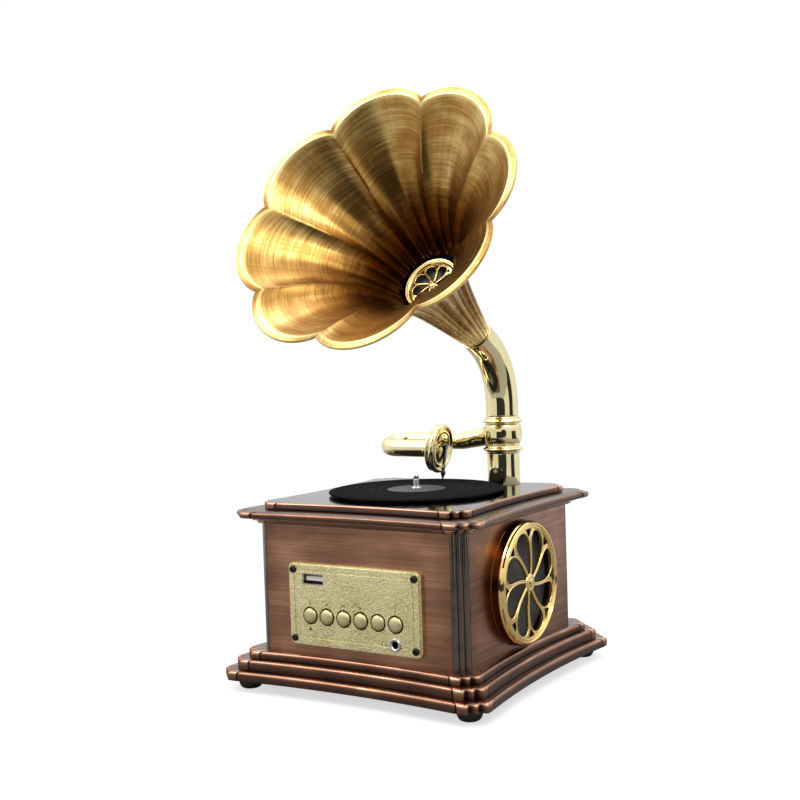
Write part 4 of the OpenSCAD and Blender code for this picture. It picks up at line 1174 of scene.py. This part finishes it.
class PHONOGRAPH_OT_horn(bpy.types.Operator):
    """Fluted horn of eight petals with a turned lip, and beads on the throat's grille"""

    bl_idname = "phonograph.horn"
    bl_label = "Horn"

    def execute(self, context):
        start, axes = horn_axes()
        grid, worn = horn_grid(context.scene.phonograph.horn)
        surface("horn_fluted", [seated(grid, start, axes)], "horn", "horn_brass", looped=True,
                worn=[worn], stands_for=("horn",), angle=60)
        beads = lattice_beads(2.4, 11.4, 0.9, 14, 0.32, 51.05)
        surface("throat_beads", [seated(g, start, axes) for g in beads], "horn", "grille_gold",
                looped=True)
        ring = eased([[12.6, 50], [12.6, 51.4], [13.2, 51.9], [13.8, 52.2], [14.6, 52.1],
                      [15.3, 51.3], [15.3, 50]], 0.25, 3)
        surface("throat_ring", [seated(turned(ring, 96), start, axes)], "horn", "grille_gold",
                looped=True)
        return {"FINISHED"}


class PHONOGRAPH_OT_stage(bpy.types.Operator):
    """Camera, pale floor, soft boxes and the studio that the metal reflects"""

    bl_idname = "phonograph.stage"
    bl_label = "Stage"

    def execute(self, context):
        scene = context.scene
        back = np.array([math.sin(CAMERA_TURN) * math.cos(CAMERA_RISE),
                         -math.cos(CAMERA_TURN) * math.cos(CAMERA_RISE), math.sin(CAMERA_RISE)])
        right = np.array([math.cos(CAMERA_TURN), math.sin(CAMERA_TURN), 0])
        up = np.cross(back, right)
        c, n = math.cos(CAMERA_ROLL), math.sin(CAMERA_ROLL)
        lens = bpy.data.cameras.new("camera")
        lens.lens, lens.sensor_width = CAMERA_LENS, 36
        lens.clip_start, lens.clip_end = 0.01, 50
        camera = bpy.data.objects.new("camera", lens)
        turn = np.column_stack([right * c + up * n, up * c - right * n, back])
        camera.matrix_world = Matrix.Translation(CAMERA_AT) @ Matrix(turn.tolist()).to_4x4()
        scene.collection.objects.link(camera)
        scene.camera = camera
        mesh = bpy.data.meshes.new("floor")
        corners = [(x * FLOOR_HALF, y * FLOOR_HALF, -0.0001)
                   for x, y in ((-1, -1), (1, -1), (1, 1), (-1, 1))]
        mesh.from_pydata(corners, [], [(0, 1, 2, 3)])
        floor = bpy.data.objects.new("floor", mesh)
        scene.collection.objects.link(floor)
        look = Look("floor_paper", roughness=0.7)
        fibre = look.noise(300, 2)
        # towards its edge the paper turns into the white of the backdrop; the metal sees it dimmer
        x, y, _ = look.axes()
        far = look.ramp(look.maths("SQRT", x * x + y * y), (0.08, 0.62), (0.24, 1.0))
        seen = look.node("ShaderNodeLightPath", {}, {}, "Is Camera Ray")
        look.under(1 - far * seen, "ShaderNodeEmission", {"Color": (1, 1, 1, 1), "Strength": 1.02})
        paper = look.ramp(fibre, (0, (0.93, 0.93, 0.93)), (1, (0.96, 0.96, 0.96)))
        mesh.materials.append(look.finish(Base_Color=look.blend(seen, (0.2, 0.2, 0.2), paper),
                                          height=fibre, strength=0.02))
        for name, at, aim, size, power in (
                ("key", (-0.75, -0.75, 1.15), (-0.02, 0, 0.15), (0.7, 0.7), 7),
                ("side", (0.75, -0.45, 1.2), (0, 0, 0.2), (0.5, 0.6), 5),
                ("top", (0.0, 0.45, 1.35), (0, 0, 0.2), (0.8, 0.6), 6)):
            lamp = bpy.data.lights.new(name, "AREA")
            lamp.shape, lamp.size, lamp.size_y, lamp.energy = "RECTANGLE", *size, power
            box = bpy.data.objects.new(name, lamp)
            turn = (Vector(aim) - Vector(at)).to_track_quat("-Z", "Y")
            box.matrix_world = Matrix.Translation(at) @ turn.to_matrix().to_4x4()
            scene.collection.objects.link(box)
        self.studio(scene)
        scene.view_settings.view_transform = "Standard"
        scene.view_settings.exposure = 0.0
        return {"FINISHED"}

    def studio(self, scene):
        """What the metal reflects: light paper behind, a bright ceiling, black flags in front."""
        world = bpy.data.worlds.new("studio")
        scene.world = world
        world.use_nodes = True
        sky = Graph(world.node_tree, "Generated")
        x, y, z = sky.axes()
        facing = x * 0.531 + y * -0.847
        side = x * 0.847 + y * 0.531
        # paper behind is light, the room in front is dim, the ceiling is bright
        low = sky.ramp(facing * 0.5 + 0.5, (0.0, 0.8), (0.35, 0.92), (0.7, 0.78), (1.0, 0.8))
        high = sky.ramp(z, (0.12, 0.0), (0.35, 0.22), (0.6, 0.55), (0.85, 1.0))
        # black flags round the camera: one behind it, one to its right, both below eye level
        left = sky.ramp(side * 0.5 + 0.5, (0.16, 0.0), (0.165, 1.0), (0.465, 1.0), (0.47, 0.0))
        right = sky.ramp(side * 0.5 + 0.5, (0.87, 0.0), (0.88, 1.0), (0.985, 1.0), (0.99, 0.0))
        ahead = sky.maths("GREATER_THAN", facing, 0.0)
        below = sky.ramp(z * 0.5 + 0.5, (0.55, 1.0), (0.555, 0.0))
        behind = sky.ramp(facing, (0.955, 0.0), (0.965, 1.0))
        flags = sky.clamp(sky.clamp(left + right) * ahead * below + behind)
        bright = low + high * 0.8
        glow = bright * (1 - flags * 0.96)
        seen = sky.node("ShaderNodeBackground", {}, {"Color": (1, 1, 1, 1), "Strength": 1.02})
        lit = sky.node("ShaderNodeBackground", {}, {"Color": glow, "Strength": 1.0})
        ray = sky.node("ShaderNodeLightPath", {}, {}, "Is Camera Ray")
        mixed = sky.node("ShaderNodeMixShader", {}, {0: ray, 1: lit, 2: seen})
        out = sky.nodes.new("ShaderNodeOutputWorld")
        sky.links.new(mixed.socket, out.inputs["Surface"])


class PHONOGRAPH_PT_panel(bpy.types.Panel):
    """Lists the operators and the settings"""

    bl_label = "Horn phonograph"
    bl_space_type = "VIEW_3D"
    bl_region_type = "UI"
    bl_category = "Phonograph"

    def draw(self, context):
        for operator in OPERATORS:
            self.layout.operator(operator.bl_idname)
        for name in ("horn", "cabinet", "detail", "finish"):
            group = getattr(context.scene.phonograph, name)
            box = self.layout.box()
            for key in group.__annotations__:
                box.prop(group, key)


OPERATORS = (
    PHONOGRAPH_OT_finishes, PHONOGRAPH_OT_stage, PHONOGRAPH_OT_plinth, PHONOGRAPH_OT_crown,
    PHONOGRAPH_OT_panel, PHONOGRAPH_OT_grilles, PHONOGRAPH_OT_record, PHONOGRAPH_OT_pillar,
    PHONOGRAPH_OT_tonearm, PHONOGRAPH_OT_sound_box, PHONOGRAPH_OT_elbow, PHONOGRAPH_OT_horn,
)
CLASSES = (HornSettings, CabinetSettings, DetailSettings, FinishSettings, PhonographSettings,
           *OPERATORS, PHONOGRAPH_PT_panel)


def register():
    for item in CLASSES:
        bpy.utils.register_class(item)
    bpy.types.Scene.phonograph = PointerProperty(type=PhonographSettings)


def unregister():
    del bpy.types.Scene.phonograph
    for item in reversed(CLASSES):
        bpy.utils.unregister_class(item)


def main():
    register()
    for operator in OPERATORS:
        group, name = operator.bl_idname.split(".")
        getattr(getattr(bpy.ops, group), name)()


if __name__ == "__main__":
    main()
